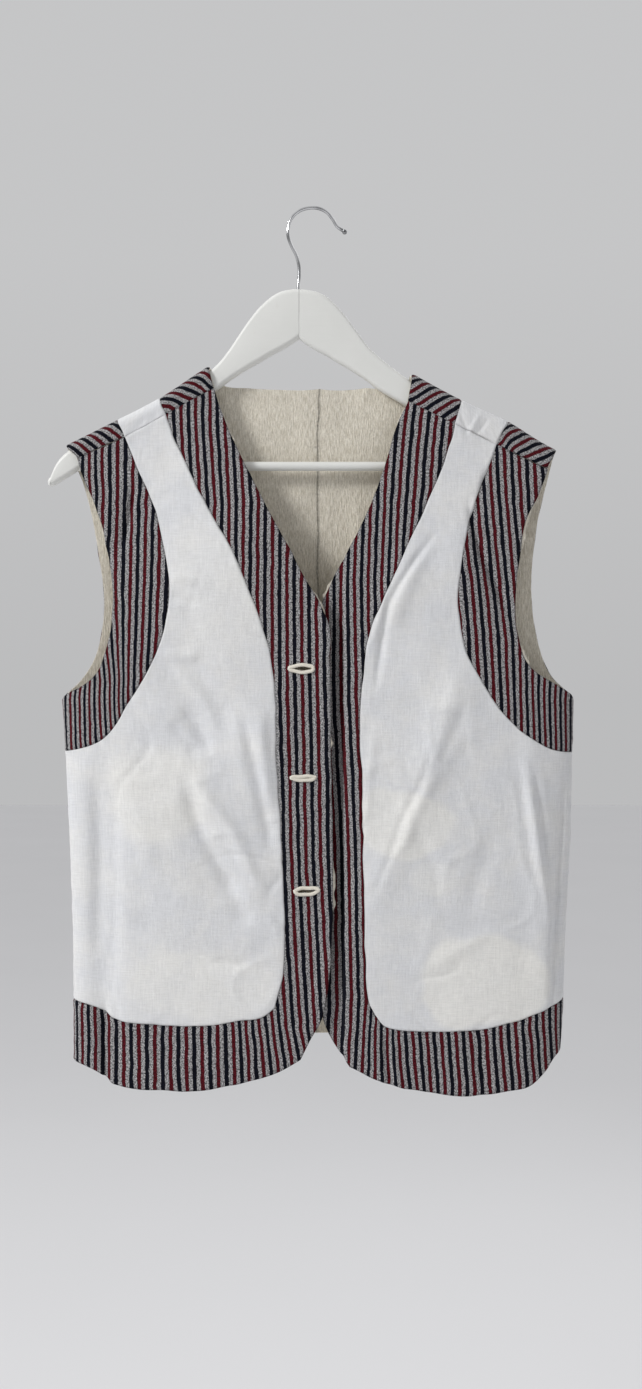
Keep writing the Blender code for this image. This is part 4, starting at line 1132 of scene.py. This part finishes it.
def cream_lining():
    """Unbleached crinkled cotton: fine upright ridges with painted shade in the hollows between them,
    lighter and darker flecks, and stitch holes with painted shade along the seam.
    """
    made, start, shader = new_material("cream_lining", 0.92, sheen_weight=0.1, sheen_roughness=0.6)
    across, along, uv = cloth_place(start)
    ridges = fibres(start, uv, 840, 130, 3.0, 0.7)
    flecks = fibres(start, uv, 1000, 520)
    # darker dots along the centre back seam: stitch holes, and painted shade in the seam
    stitch_holes_and_seam_shade = painted_on(start, "seam") * (fibres(start, uv, 600, 420, 1.0, 0.5) * 0.65)
    stains = noise(start, uv, 14.0, 3.0, 0.6)
    # darker cream down in the crinkle's hollows: painted shade, from the same ridges as the bump
    base = ridges.raised(0.35, 3.2).mixed(*CREAMS)
    level = 0.61 + flecks * 0.50 + stains * 0.30 - stitch_holes_and_seam_shade
    weave = plain_weave(across, along, LINING_PITCH)
    normal = bump(start, weave * 0.4 + flecks, 0.0003, 0.6, bump(start, ridges, 0.0014, 1.0))
    wire(start, shader, base_color=multiplied(start, base, level), normal=normal)
    return made


def cream_cord():
    """Hand-worked thread over a cord: each stitch a little lighter or darker."""
    made, start, shader = new_material("cream_cord", 0.7, sheen_weight=0.15, sheen_roughness=0.4)
    strands = fibres(start, cloth_place(start)[2], 900, 5200, roughness=0.5)
    wire(start, shader, base_color=strands.mixed(*CORD_CREAMS), normal=bump(start, strands, 0.0002, 0.7))
    return made


def button_plastic():
    """Plain off-white plastic with faint clouds."""
    made, start, shader = new_material("button", 0.35)
    clouds = noise(start, object_place(start), 260.0, 3.0)
    wire(start, shader, base_color=clouds.mixed(*BUTTON_WHITES), roughness=clouds * 0.2 + 0.25)
    return made


def painted_wood():
    """White satin paint over wood: a faint grain along the arms, and a little wear and unevenness."""
    made, start, shader = new_material("painted_wood", 0.4, coat_roughness=0.25)
    where = object_place(start)
    grain = noise(start, where, 1.0, 4.0, 0.6, (14, 260, 260))
    clouds = noise(start, where, 22.0, 3.0)
    worn = noise(start, where, 90.0, 3.0).raised(0.66, 6) * 0.25
    base = worn.mixed(clouds.mixed(*PAINT_WHITES), BARE_WOOD)
    normal = bump(start, grain, 0.0004, 0.35)
    wire(start, shader, base_color=base, roughness=clouds * 0.2 + 0.3, normal=normal)
    return made


def chrome_wire():
    """Bright plated wire with faint smudges, and painted reflections in its colour: a painted highlight
    down its front, and painted dark reflections along its sides and in patches here and there.
    """
    made, start, shader = new_material("chrome_wire", 0.16, metallic=1.0)
    where = object_place(start)
    smudges = noise(start, where, 140.0, 3.0)
    # patches along the wire where the painted highlight gives way to painted dark reflections
    patches = noise(start, where, 46.0, 1.0).raised(0.42, 6)
    # the painted highlight: brightest down the wire's front, falling to painted dark reflection on its
    # sides
    from_front = start.math("ABSOLUTE", start.node("SeparateXYZ", {}, {0: where}, 1) - PAINTED_HIGHLIGHT_Y)
    painted_highlight = (PAINTED_HIGHLIGHT_PEAK - from_front * PAINTED_HIGHLIGHT_FALL).clamped() * (0.35 + patches * 0.65)
    base = painted_highlight.mixed(PAINTED_DARK_REFLECTION, smudges.mixed(*BRIGHT_METAL))
    wire(start, shader, base_color=base, roughness=smudges * 0.16 + 0.1)
    return made


def floor_paint():
    """Plain pale paint with faint clouds."""
    made, start, shader = new_material("pale_floor", 0.9)
    clouds = noise(start, object_place(start), 1.4, 2.0)
    wire(start, shader, base_color=clouds.mixed(*FLOOR_GREYS))
    return made


MATERIALS = {
    "white_cotton": white_cotton(),
    "striped_cotton": striped_cotton(),
    "cream_lining": cream_lining(),
    "cream_cord": cream_cord(),
    "button": button_plastic(),
    "painted_wood": painted_wood(),
    "chrome_wire": chrome_wire(),
}


# Making objects


def in_scene(name, data):
    """An object at the origin, in the scene."""
    made = bpy.data.objects.new(name, data)
    bpy.context.scene.collection.objects.link(made)
    return made


def surface(name, points, quads, slots, uv):
    """An object from points in millimetres and quads, with the cloth's own place at each corner."""
    mesh = bpy.data.meshes.new(name)
    mesh.from_pydata((points * MM).tolist(), [], quads.tolist())
    mesh.shade_smooth()
    for slot in slots:
        mesh.materials.append(MATERIALS[slot])
    layer = mesh.uv_layers.new(name="cloth")
    layer.data.foreach_set("uv", (uv[quads.ravel()] * MM).ravel())
    return in_scene(name, mesh)


def closed_form(name, points, faces, slot):
    """An object from points in millimetres, quads and triangles, its faces turned outwards."""
    mesh = bpy.data.meshes.new(name)
    mesh.from_pydata((points * MM).tolist(), [], faces)
    mesh.shade_smooth()
    mesh.materials.append(MATERIALS[slot])
    checked = bmesh.new()
    checked.from_mesh(mesh)
    bmesh.ops.recalc_face_normals(checked, faces=checked.faces)
    checked.to_mesh(mesh)
    checked.free()
    mesh.set_sharp_from_angle(angle=math.radians(SHARP_FROM))
    return in_scene(name, mesh)


def stands_for(made, node):
    """Hides the CAD node that a piece stands for, if there is one, and attaches the piece to the root
    body.
    """
    if node:
        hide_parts(node)
    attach(made, "root")


def flat_area(flat, quads):
    """The quads' area in the flat, in square metres: half the cross product of their diagonals."""
    one, two = flat[quads[:, 2]] - flat[quads[:, 0]], flat[quads[:, 3]] - flat[quads[:, 1]]
    return np.abs(one[:, 0] * two[:, 1] - one[:, 1] * two[:, 0]).sum() / 2 * MM * MM


def in_slits(flat, quads):
    """Which quads lie inside a buttonhole's slit."""
    middle = flat[quads].mean(axis=1)
    inside = np.zeros(len(quads), bool)
    for hole in BUTTONHOLES:
        x, p = (middle - flat_of([(hole.x, hole.z)])[0]).T
        tilt = math.radians(hole.tilt)
        along, up = x * math.cos(tilt) - p * math.sin(tilt), x * math.sin(tilt) + p * math.cos(tilt)
        inside |= (np.abs(along) < SLIT_LENGTH / 2) & (np.abs(up) < SLIT_HEIGHT / 2)
    return inside


def cloth(name, patches, side, slot, wall=CLOTH_WALL, under=0.0, tucked=False, crinkled=False):
    """One cloth piece on the form, its edges rounded down and puckered, and its wall turned inwards.

    It lies this far under the form. A crinkled one is half of the back's lining, where only the seam at
    the centre back counts as an edge.
    """
    points, quads = joined(patches)
    flat = points[:, :2]
    if crinkled:
        edge = np.abs(flat[:, 0])
        wanders, drop = LINING_WANDERS * EDGE_WANDERS, LINING_DROP * EDGE_DROP
        reach = LINING_SHADE * SEAM_SHADE
    else:
        edge = np.clip(points[:, 2], 0, FAR_FROM_EDGE)
        wanders, drop, reach = EDGE_WANDERS, EDGE_DROP, SEAM_SHADE
    off_line = np.stack([read_map(heights, flat[:, 0], flat[:, 1]) for heights in WANDER_MAPS], axis=1)
    wandered = flat + off_line * (wanders * np.exp(-edge / WANDER_REACH))[:, None]
    if crinkled:  # the two halves meet at the centre back seam
        wandered[:, 0] -= np.sign(flat[:, 0]) * GAP / 2 * np.exp(-edge)
    on_form, normal = place(side, wandered, tucked), outward(side, wandered, tucked)
    lift = -drop * np.clip(1 - edge / EDGE_ROUND, 0, 1) ** 2
    pucker = read_map(PUCKER_MAP, flat[:, 0], flat[:, 1])
    lift += PUCKER_OUT * pucker * np.exp(-edge / PUCKER_REACH) * smoothstep(edge / EDGE_ROUND)
    if crinkled:
        left = CRINKLE_AT_SEAM + (1 - CRINKLE_AT_SEAM) * smoothstep(edge / CRINKLE_REACH)
        lift += read_map(CRINKLE_MAP, flat[:, 0], flat[:, 1]) * left - CRINKLE_LOW
    laid = on_form + normal * (lift - under)[:, None]
    if name == "front_right_band":
        quads = quads[~in_slits(flat, quads)]
    if side == BACK:
        quads = quads[:, [0, 3, 2, 1]]
    uv = flat.copy()
    if slot == "striped_cotton":
        uv[:, 0] = stripe_numbers(name, flat) * STRIPE_REPEAT
    made = surface(f"{name}_cloth", laid, quads, (slot, "cream_lining"), uv)
    # seam: how near an edge each point is, which the materials darken by as painted shade in the seams and
    # hems
    seam = np.exp(-((edge / reach) ** 2))
    for painted, values in (("shows", shows_through(side, laid)), ("seam", seam)):
        made.data.attributes.new(painted, "FLOAT", "POINT").data.foreach_set("value", values)
    turned_in = made.modifiers.new("wall", "SOLIDIFY")
    turned_in.thickness = wall * MM
    turned_in.offset = -1
    turned_in.material_offset = 1 if side == FRONT else 0
    stands_for(made, None if name in FACING_NAMES else name)
    flat_area(flat, quads)


# The vest's flat pieces


def front_pieces(hand):
    """Flat grids of one front: its band, white panel and armhole band."""
    seam = flat_of(SHOULDER_SEAM[hand])
    sign = -1 if hand == "right" else 1
    side_foot = (sign * SIDE, PANEL_FOOT_AT_SIDE[hand])
    edge = (SHOULDER_SEAM[hand][3], *FRONT_NECK[hand], *FRONT_EDGE[hand], FRONT_CORNER[hand])
    neck_and_edge = dense(flat_of(edge))
    band_seam = dense(flat_of((SHOULDER_SEAM[hand][2], *BAND_SEAM[hand], PANEL_CORNER[hand])))
    foot = dense(flat_of((PANEL_CORNER[hand], *PANEL_FOOT[hand], side_foot)))
    hem = dense(flat_of((FRONT_CORNER[hand], *FRONT_HEM[hand], (sign * SIDE, HEM_AT_SIDE[hand]))))
    underarm, arm_seam_end = (sign * SIDE, UNDERARM[hand]), (sign * SIDE, ARM_SEAM_AT_SIDE[hand])
    armhole = dense(flat_of((SHOULDER_SEAM[hand][0], *FRONT_ARMHOLE[hand], underarm)))
    arm_seam = dense(flat_of((SHOULDER_SEAM[hand][1], *FRONT_ARM_SEAM[hand], arm_seam_end)))

    column_shares = shares(
        PANEL_COLUMNS, length_along(foot)[-1], fine_end=SIDE_COUNT, end_step=SIDE_STEP
    )
    upper = UNDERARM_SHARE * eased(ARM_ROWS, FRONT_EASE)
    row_shares = np.concatenate([upper, np.linspace(UNDERARM_SHARE, 1, BAND_ROWS - ARM_ROWS + 1)[1:]])
    rows, columns = lines(BAND_ROWS, FRONT_FINE), lines(PANEL_COLUMNS, FRONT_FINE)
    width = lines(BAND_COLUMNS, FRONT_FINE) / BAND_COLUMNS
    band_points, foot_points = on(band_seam, row_shares)(rows), on(foot, column_shares)(columns)
    band = patch(
        np.vstack([on(neck_and_edge, row_shares)(rows), on(hem, column_shares)(columns)[1:]]),
        np.vstack([band_points, foot_points[1:]]),
        ruled(seam[3], seam[2], width),
        ruled(hem[-1], foot[-1], width),
        np.concatenate([rows, BAND_ROWS + columns[1:]]) / (BAND_ROWS + PANEL_COLUMNS),
        width,
    )

    def arm_line(line):
        length = length_along(line)[-1]
        return on(line, shares(ARM_ROWS, length, fine_end=SIDE_COUNT, end_step=SIDE_STEP))

    arm_rows = lines(ARM_ROWS, FRONT_FINE)
    arm = patch(
        arm_line(armhole)(arm_rows),
        arm_line(arm_seam)(arm_rows),
        ruled(seam[0], seam[1], width),
        ruled(armhole[-1], arm_seam[-1], width),
        arm_rows / ARM_ROWS,
        width,
    )
    side_rows = BAND_ROWS - ARM_ROWS
    side_seam = on(np.array([arm_seam[-1], foot[-1]]), np.linspace(0, 1, side_rows + 1))
    across = np.interp(columns, np.arange(PANEL_COLUMNS + 1), column_shares)
    panel = patch(
        band_points,
        end_to_end(rows, (arm_line(arm_seam), ARM_ROWS), (side_seam, side_rows)),
        ruled(seam[2], seam[1], across),
        foot_points,
        rows / BAND_ROWS,
        across,
    )
    return {"band": band, "panel": panel, "armhole": arm}


def back_pieces(hand, fine):
    """Flat grids of half the back, each from the front shoulder seam over the crest and down."""
    sign = -1 if hand == "right" else 1
    seam = flat_of(SHOULDER_SEAM[hand])
    crossings = flat_of([(x, crest(x)) for x in CREST_CROSSINGS[hand]])

    def crossing_line(index, points, end):
        return dense(np.vstack([over_crest(seam[index]), crossings[index], flat_of(points), end]))

    def centre(name):
        return np.array([0.0, CENTRE_BACK[name]])

    def at_side(height):
        return flat_of([(sign * SIDE, height)])[0]

    neck_edge = crossing_line(3, BACK_NECK[hand], centre("neck"))
    neck_seam = crossing_line(2, BACK_NECK_SEAM[hand], centre("neck seam"))
    armhole = crossing_line(0, BACK_ARMHOLE[hand], at_side(UNDERARM[hand]))
    arm_seam = crossing_line(1, BACK_ARM_SEAM[hand], at_side(ARM_SEAM_AT_SIDE[hand]))
    foot_at_side = at_side(PANEL_FOOT_AT_SIDE[hand])
    foot = dense(np.vstack([foot_at_side, flat_of(BACK_FOOT[hand]), centre("foot")]))
    hem = dense(np.vstack([at_side(HEM_AT_SIDE[hand]), flat_of(BACK_HEM[hand]), centre("hem")]))

    def neck_line(line):
        return on(line, shares(BACK_NECK_ROWS, length_along(line)[-1], CREST_ROWS, CREST_STEP))

    def arm_line(line):
        length = length_along(line)[-1]
        return on(line, shares(BACK_ARM_ROWS, length, CREST_ROWS, CREST_STEP, SIDE_COUNT, SIDE_STEP))

    column_shares = shares(PANEL_COLUMNS, length_along(foot)[-1], fine=SIDE_COUNT, step=SIDE_STEP)
    all_rows = BACK_ARM_ROWS + BACK_SIDE_ROWS
    row_counts = BACK_NECK_ROWS, BACK_ARM_ROWS, all_rows
    neck_rows, arm_rows, rows = (lines(count, fine) for count in row_counts)
    columns, width = lines(PANEL_COLUMNS, fine), lines(BAND_COLUMNS, fine) / BAND_COLUMNS
    across = np.interp(columns, np.arange(PANEL_COLUMNS + 1), column_shares)
    waist = np.array([0.0, BACK_WAIST])
    middle_rows = BACK_ARM_ROWS - BACK_NECK_ROWS
    straight = np.linspace(0, 1, BACK_SIDE_ROWS + 1)
    side_seam = on(np.array([arm_seam[-1], foot[0]]), straight)
    middle = on(np.array([centre("neck seam"), waist]), eased(middle_rows, BACK_EASE))
    below = on(np.array([waist, centre("foot")]), straight)
    to_middle = (neck_line(neck_seam), BACK_NECK_ROWS), (middle, middle_rows), (below, BACK_SIDE_ROWS)
    foot_points = on(foot, column_shares)(columns)
    hem_width = lines(HEM_COLUMNS, fine) / HEM_COLUMNS
    return {
        "neck": patch(
            neck_line(neck_edge)(neck_rows),
            neck_line(neck_seam)(neck_rows),
            over_crest(ruled(seam[3], seam[2], width)),
            ruled(centre("neck"), centre("neck seam"), width),
            neck_rows / BACK_NECK_ROWS,
            width,
            open_end=False,
        ),
        "armhole": patch(
            arm_line(armhole)(arm_rows),
            arm_line(arm_seam)(arm_rows),
            over_crest(ruled(seam[0], seam[1], width)),
            ruled(armhole[-1], arm_seam[-1], width),
            arm_rows / BACK_ARM_ROWS,
            width,
        ),
        "panel": patch(
            end_to_end(rows, (arm_line(arm_seam), BACK_ARM_ROWS), (side_seam, BACK_SIDE_ROWS)),
            end_to_end(rows, *to_middle),
            over_crest(ruled(seam[1], seam[2], across)),
            foot_points,
            rows / all_rows,
            across,
            open_until=BACK_NECK_ROWS / all_rows,
        ),
        "hem": patch(
            on(hem, column_shares)(columns),
            foot_points,
            ruled(hem[0], foot[0], hem_width),
            ruled(hem[-1], foot[-1], hem_width),
            across,
            hem_width,
            open_end=False,
        ),
    }


def facing_strip(facing):
    """A strip of the front's lining along an edge: it lies behind the band and peeks out in places."""
    edge = at_shares(dense(flat_of(facing.edge)), np.linspace(0, 1, FACING_ROWS))
    run = np.gradient(edge, axis=0)
    aside = np.stack([-run[:, 1], run[:, 0]], axis=1)
    out = aside / np.linalg.norm(run, axis=1, keepdims=True) * facing.turn
    places = np.array(facing.peeks, float)[::-1].T
    ragged = 1 + FACING_RAGGED * read_map(PUCKER_MAP, edge[:, 0] * FACING_RAGGED_ACROSS, edge[:, 1])
    peek = np.interp(edge[:, 1], *places) * ragged * FACING_SHOWS
    outer, inner = edge + out * peek[:, None], edge - out * FACING_WIDTH
    width = np.linspace(0, 1, FACING_COLUMNS)
    return patch(
        outer,
        inner,
        ruled(outer[0], inner[0], width),
        ruled(outer[-1], inner[-1], width),
        np.linspace(0, 1, FACING_ROWS),
        width,
    )


def vest():
    """Every cloth piece. The left front's are tucked, and the lining's halves cover all of the back."""
    for facing in FACINGS:
        tucked = "_left_" in facing.name
        strip = [facing_strip(facing)]
        cloth(facing.name, strip, FRONT, "cream_lining", FACING_WALL, CLOTH_WALL, tucked)
    for hand in ("right", "left"):
        for piece, grid in front_pieces(hand).items():
            slot = "white_cotton" if piece == "panel" else "striped_cotton"
            cloth(f"front_{hand}_{piece}", [grid], FRONT, slot, tucked=hand == "left")
    backs = {hand: back_pieces(hand, BACK_FINE) for hand in ("right", "left")}
    for piece in ("panel", "neck", "hem"):
        slot = "white_cotton" if piece == "panel" else "striped_cotton"
        cloth(f"back_{piece}", [backs["right"][piece], backs["left"][piece]], BACK, slot)
    for hand, grids in backs.items():
        cloth(f"back_{hand}_armhole", [grids["armhole"]], BACK, "striped_cotton")
        inside, under = list(back_pieces(hand, LINING_FINE).values()), CLOTH_WALL + GAP
        cloth(f"lining_{hand}", inside, BACK, "cream_lining", LINING_WALL, under, crinkled=True)


# Tubes, lofts and turned pieces


def lofted(rings, closed_path=False):
    """Quads between neighbouring rings of points, and from the last to the first on a closed path."""
    count, around = rings.shape[:2]
    index = np.arange(count * around).reshape(count, around)
    after = np.roll(index, -1, axis=0) if closed_path else index[1:]
    before = index if closed_path else index[:-1]
    quads = [before, np.roll(before, -1, axis=1), np.roll(after, -1, axis=1), after]
    return np.stack(quads, axis=-1).reshape(-1, 4)


def round_ended(rings):
    """The rings' points and quads, with a point in the middle of each end and triangles to it."""
    count, around = rings.shape[:2]
    points = np.vstack([rings.reshape(-1, 3), rings[0].mean(axis=0), rings[-1].mean(axis=0)])
    first = np.arange(around)
    last = first + (count - 1) * around
    start = np.stack([np.roll(first, -1), first, np.full(around, count * around)], axis=1)
    end = np.stack([last, np.roll(last, -1), np.full(around, count * around + 1)], axis=1)
    return points, lofted(rings).tolist() + start.tolist() + end.tolist()


def front_spot(x, z, tucked):
    """A point on a front's outer face, and the frame there: across, up and out."""
    flat = flat_of([(x, z)])
    point, out = place(FRONT, flat, tucked)[0], outward(FRONT, flat, tucked)[0]
    across = np.cross(out, [0, 0, 1])
    across /= np.linalg.norm(across)
    return point, across, np.cross(out, across), out


def buttonholes():
    """Corded rings round slits.

    A ring's cord follows an oval, a little uneven, and its round section swells and narrows as a sine
    with each stitch, whose threads lie aslant.
    """
    turn = np.linspace(0, 2 * math.pi, HOLE_STEPS * 4)
    half_length = (HOLE_LENGTH - CORD_WIDTH) / 2
    around = np.linspace(0, 2 * math.pi, CORD_SIDES, endpoint=False)
    for number, hole in enumerate(BUTTONHOLES):
        half_height = (HOLE_HEIGHT - CORD_WIDTH) / 2 * HOLE_OPENINGS[hole.name]
        oval = np.stack([np.cos(turn) * half_length, np.sin(turn) * half_height], axis=1)
        wobbles = (out * np.sin(waves * turn + shift * number) for out, waves, shift in HOLE_WOBBLES)
        oval[:, 1] += sum(wobbles)
        line = at_shares(oval, np.linspace(0, 1, HOLE_STEPS, endpoint=False))
        whole = length_along(oval)[-1]
        ring_step = np.linspace(0, whole, HOLE_STEPS, endpoint=False)
        run = np.roll(line, -1, axis=0) - np.roll(line, 1, axis=0)
        aside = np.stack([run[:, 1], -run[:, 0]], axis=1) / np.linalg.norm(run, axis=1, keepdims=True)
        aslant = STITCH_SLANT * np.sin(around)[None]
        stitch = np.sin(ring_step[:, None] / whole * STITCHES * 2 * math.pi + aslant)
        tilt = math.radians(hole.tilt)
        turned = np.array([[math.cos(tilt), math.sin(tilt)], [-math.sin(tilt), math.cos(tilt)]])
        path, sideways = line @ turned, aside @ turned
        flat = flat_of(path + [hole.x, hole.z])
        centre, out = place(FRONT, flat), outward(FRONT, flat)
        _, across, up, _ = front_spot(hole.x, hole.z, False)
        sideways = sideways[:, :1] * across + sideways[:, 1:] * up
        swell = 1 + stitch * STITCH_OUT / (CORD_WIDTH / 2)
        swing = np.cos(around)[None, :, None] * sideways[:, None] * CORD_WIDTH / 2 * swell[..., None]
        lift = (np.sin(around)[None, :] * swell + 1)[..., None] * out[:, None] * CORD_THICK / 2
        rings = centre[:, None] + swing + lift - out[:, None] * CORD_SINKS
        quads = lofted(rings, closed_path=True)
        own = np.stack(np.broadcast_arrays(ring_step[:, None], around[None] * CORD_WIDTH / 2), axis=-1)
        points, name = rings.reshape(-1, 3), f"buttonhole_{hole.name}"
        made = surface(f"{name}_thread", points, quads, ("cream_cord",), own.reshape(-1, 2))
        stands_for(made, name)


def buttons():
    """Turned discs with a raised rim, each lying on the left front."""
    profile = dense(BUTTON_PROFILE, BUTTON_STEPS)
    turn = np.linspace(0, 2 * math.pi, BUTTON_SIDES, endpoint=False)
    for hole in BUTTONHOLES:
        point, across, up, out = front_spot(BUTTON_X, hole.z, True)
        centre = point + out * (BUTTON_LIFT + BUTTON_THICK / 2)
        radial = np.cos(turn)[:, None] * across + np.sin(turn)[:, None] * up
        rings = centre + radial[None] * profile[:, :1, None] + out * profile[:, 1:, None]
        points, faces = round_ended(rings)
        made = closed_form(f"button_{hole.name}_disc", points, faces, "button")
        stands_for(made, f"button_{hole.name}")


# The hanger


def hanger_arm(hand, sign, reach, top_column):
    """Half the hanger: a loft through the arm's sections, smooth between them, with a round end.

    Each section is a rectangle with round corners. The end's sections shrink as the cosine of a quarter
    turn, while they move out as its sine.
    """
    table = np.array([(row.out * reach, getattr(row, top_column), row.under) for row in ARM_SECTIONS])
    out, top, under = dense(table, ARM_STEPS).T
    out = np.maximum(out, HANGER_SEAM)
    turn = np.linspace(0, math.pi / 2, ARM_END_STEPS + 1)[1:]
    shrink = np.concatenate([np.ones(len(out)), np.cos(turn) * (1 - ARM_END_SHARE) + ARM_END_SHARE])
    out = np.concatenate([out, out[-1] + np.sin(turn) * ARM_END_ROUND])
    middle, tall = (top + under) / 2, (top - under) / 2
    middle = np.concatenate([middle, np.full(ARM_END_STEPS, middle[-1])])
    tall = np.concatenate([tall, np.full(ARM_END_STEPS, tall[-1])]) * shrink
    half = HANGER_THICK / 2 * shrink
    radius = np.minimum(np.minimum(HANGER_ROUNDING, tall * ROUNDEST), half * ROUNDEST)[:, None]
    quarter = np.linspace(0, 90, ARM_CORNER_STEPS)
    corner = np.radians(np.concatenate([quarter + start for start in (0, 90, 180, 270)]))
    to_y, to_z = (np.repeat(ways, ARM_CORNER_STEPS)[None] for ways in ([1, -1, -1, 1], [1, 1, -1, -1]))
    y = np.cos(corner)[None] * radius + to_y * (half[:, None] - radius)
    z = np.sin(corner)[None] * radius + to_z * (tall[:, None] - radius) + middle[:, None]
    x = np.broadcast_to((HANGER_X + sign * out)[:, None], y.shape)
    points, faces = round_ended(np.stack([x, y, z], axis=-1))
    made = closed_form(f"hanger_{hand}_wood", points, faces, "painted_wood")
    stands_for(made, f"hanger_{hand}_half")


def tube(name, line, radius, sides, node, slot, tip=None):
    """A round tube along a line in the x, z plane, with round ends, and maybe a ball at its tip."""
    line = np.asarray(line, float)
    run = np.gradient(line, axis=0)
    run /= np.linalg.norm(run, axis=1, keepdims=True)
    aside = np.stack([-run[:, 1], run[:, 0]], axis=1)
    thick = np.full(len(line), radius)
    bend = np.linspace(0, math.pi / 2, CAP_STEPS)[1:]
    for end, way in ((0, -1), (-1, 1)):
        cap = radius if tip is None or end == 0 else tip
        if cap != radius:  # the ball: a circle's height over its own length
            angle = np.linspace(math.asin(radius / cap), math.pi, BALL_STEPS)[1:]
            offset = math.sqrt(cap**2 - radius**2) - np.cos(angle) * cap
            grown = np.maximum(np.sin(angle) * cap, THINNEST)
        else:
            offset, grown = np.sin(bend) * radius, np.maximum(np.cos(bend) * radius, THINNEST)
        extra = line[end] + way * run[end] * offset[:, None]
        spread = np.repeat(aside[end][None], len(offset), axis=0)
        if end == 0:
            line, thick = np.vstack([extra[::-1], line]), np.concatenate([grown[::-1], thick])
            aside = np.vstack([spread, aside])
        else:
            line, thick = np.vstack([line, extra]), np.concatenate([thick, grown])
            aside = np.vstack([aside, spread])
    around = np.linspace(0, 2 * math.pi, sides, endpoint=False)
    in_plane = np.cos(around)[None, :] * thick[:, None]
    rings = np.stack([
        line[:, :1] + aside[:, :1] * in_plane,
        np.sin(around)[None, :] * thick[:, None],
        line[:, 1:] + aside[:, 1:] * in_plane,
    ], axis=-1)
    points, faces = round_ended(rings)
    stands_for(closed_form(name, points, faces, slot), node)


def hanger():
    """Both arms, the bar between them and the hook."""
    hanger_arm("right", -1, RIGHT_ARM_REACH, "top_right")
    hanger_arm("left", 1, LEFT_ARM_REACH, "top_left")
    ends = np.array([(HANGER_X - BAR_OUT, BAR_Z), (HANGER_X + BAR_OUT * LEFT_ARM_REACH, BAR_Z)])
    bar = ruled(*ends, np.linspace(0, 1, BAR_RINGS))
    tube("trouser_bar_wood", bar, BAR_RADIUS, BAR_SIDES, "trouser_bar", "painted_wood")
    wire_line = dense(HOOK_LINE, WIRE_STEPS)
    tube("hook_wire", wire_line, WIRE_RADIUS, WIRE_SIDES, "hook", "chrome_wire", WIRE_TIP_RADIUS)


# Floor, light and camera

FLOOR_Z = -1.6
FLOOR_REACH = 14.0
CAMERA_AWAY = 1.350
CAMERA_AIM = (0.0092, -0.4447)  # x and height at the photo's middle
FRONT_DEPTH = 0.025
FRONT_SCALE = 0.0009  # metres a pixel at the fronts
PHOTO_HEIGHT = 1389
SENSOR = 24.0

# The pale room's light, by direction: to the vest's viewer it comes from the left and from above
ROOM_LEFT, ROOM_RIGHT = (0.40, 0.40, 0.40), (0.27, 0.272, 0.277)
ROOM_LEVEL, ROOM_BEHIND, ROOM_TOP = (0.50, 0.502, 0.508), (0.56, 0.562, 0.568), (0.78, 0.78, 0.79)
LEFT_AT_MIDDLE, LEFT_GAIN = 0.45, 0.4  # the left's share straight ahead, and its change aside
FRONT_GAIN, BEHIND_GAIN = 1.6, 3.5
TOP_FROM, TOP_GAIN = 0.5, 2.5


def stage():
    """The floor, and the room's light as a blend of colours by direction."""
    square = (-1, -1), (1, -1), (1, 1), (-1, 1)
    corners = [(x * FLOOR_REACH, y * FLOOR_REACH, FLOOR_Z) for x, y in square]
    mesh = bpy.data.meshes.new("pale_floor")
    mesh.from_pydata(corners, [], [(0, 1, 2, 3)])
    mesh.materials.append(floor_paint())
    in_scene("pale_floor", mesh)

    world = bpy.data.worlds.new("pale_room")
    world.use_nodes = True
    start = Shade(world.node_tree)
    direction = start.node("TexCoord", {}, {}, 0)
    x, y, z = (start.node("SeparateXYZ", {}, {0: direction}, axis) for axis in range(3))
    before = (LEFT_AT_MIDDLE - x * LEFT_GAIN).clamped().mixed(ROOM_RIGHT, ROOM_LEFT)
    behind = (z * BEHIND_GAIN).clamped().mixed(ROOM_LEVEL, ROOM_BEHIND)
    around = (y * -FRONT_GAIN).clamped().mixed(behind, before)
    colour = z.raised(TOP_FROM, TOP_GAIN).mixed(around, ROOM_TOP)
    world.node_tree.links.new(colour.socket, world.node_tree.nodes["Background"].inputs["Color"])
    bpy.context.scene.world = world
    bpy.context.scene.view_settings.view_transform = "Standard"


Lamp = namedtuple("Lamp", "name place target size power")
LAMPS = (
    Lamp("window", (-2.75, -1.85, 1.6), (0.0, 0.0, -0.5), 0.8, 90),
    Lamp("fill", (1.8, -1.6, -0.3), (0.0, 0.0, -0.45), 1.6, 2),
    Lamp("behind", (0.9, 1.8, 0.6), (0.0, 0.0, -0.45), 1.6, 9),
)


def lights_and_camera():
    """Three soft lamps, and a camera whose lens gives the photo's scale at the hook's depth."""
    for lamp in LAMPS:
        data = bpy.data.lights.new(lamp.name, "AREA")
        data.size, data.energy = lamp.size, lamp.power
        made = in_scene(lamp.name, data)
        made.location = lamp.place
        aim = Vector(lamp.target) - Vector(lamp.place)
        made.rotation_euler = aim.to_track_quat("-Z", "Y").to_euler()
    data = bpy.data.cameras.new("camera")
    data.sensor_fit = "AUTO"
    data.sensor_width = SENSOR
    scale_at_hook = FRONT_SCALE * CAMERA_AWAY / (CAMERA_AWAY - FRONT_DEPTH)
    data.lens = SENSOR * CAMERA_AWAY / (scale_at_hook * PHOTO_HEIGHT)
    camera = in_scene("camera", data)
    camera.location = (CAMERA_AIM[0], -CAMERA_AWAY, CAMERA_AIM[1])
    camera.rotation_euler = (math.pi / 2, 0, 0)
    bpy.context.scene.camera = camera


stage()
lights_and_camera()
hanger()
vest()
buttonholes()
buttons()
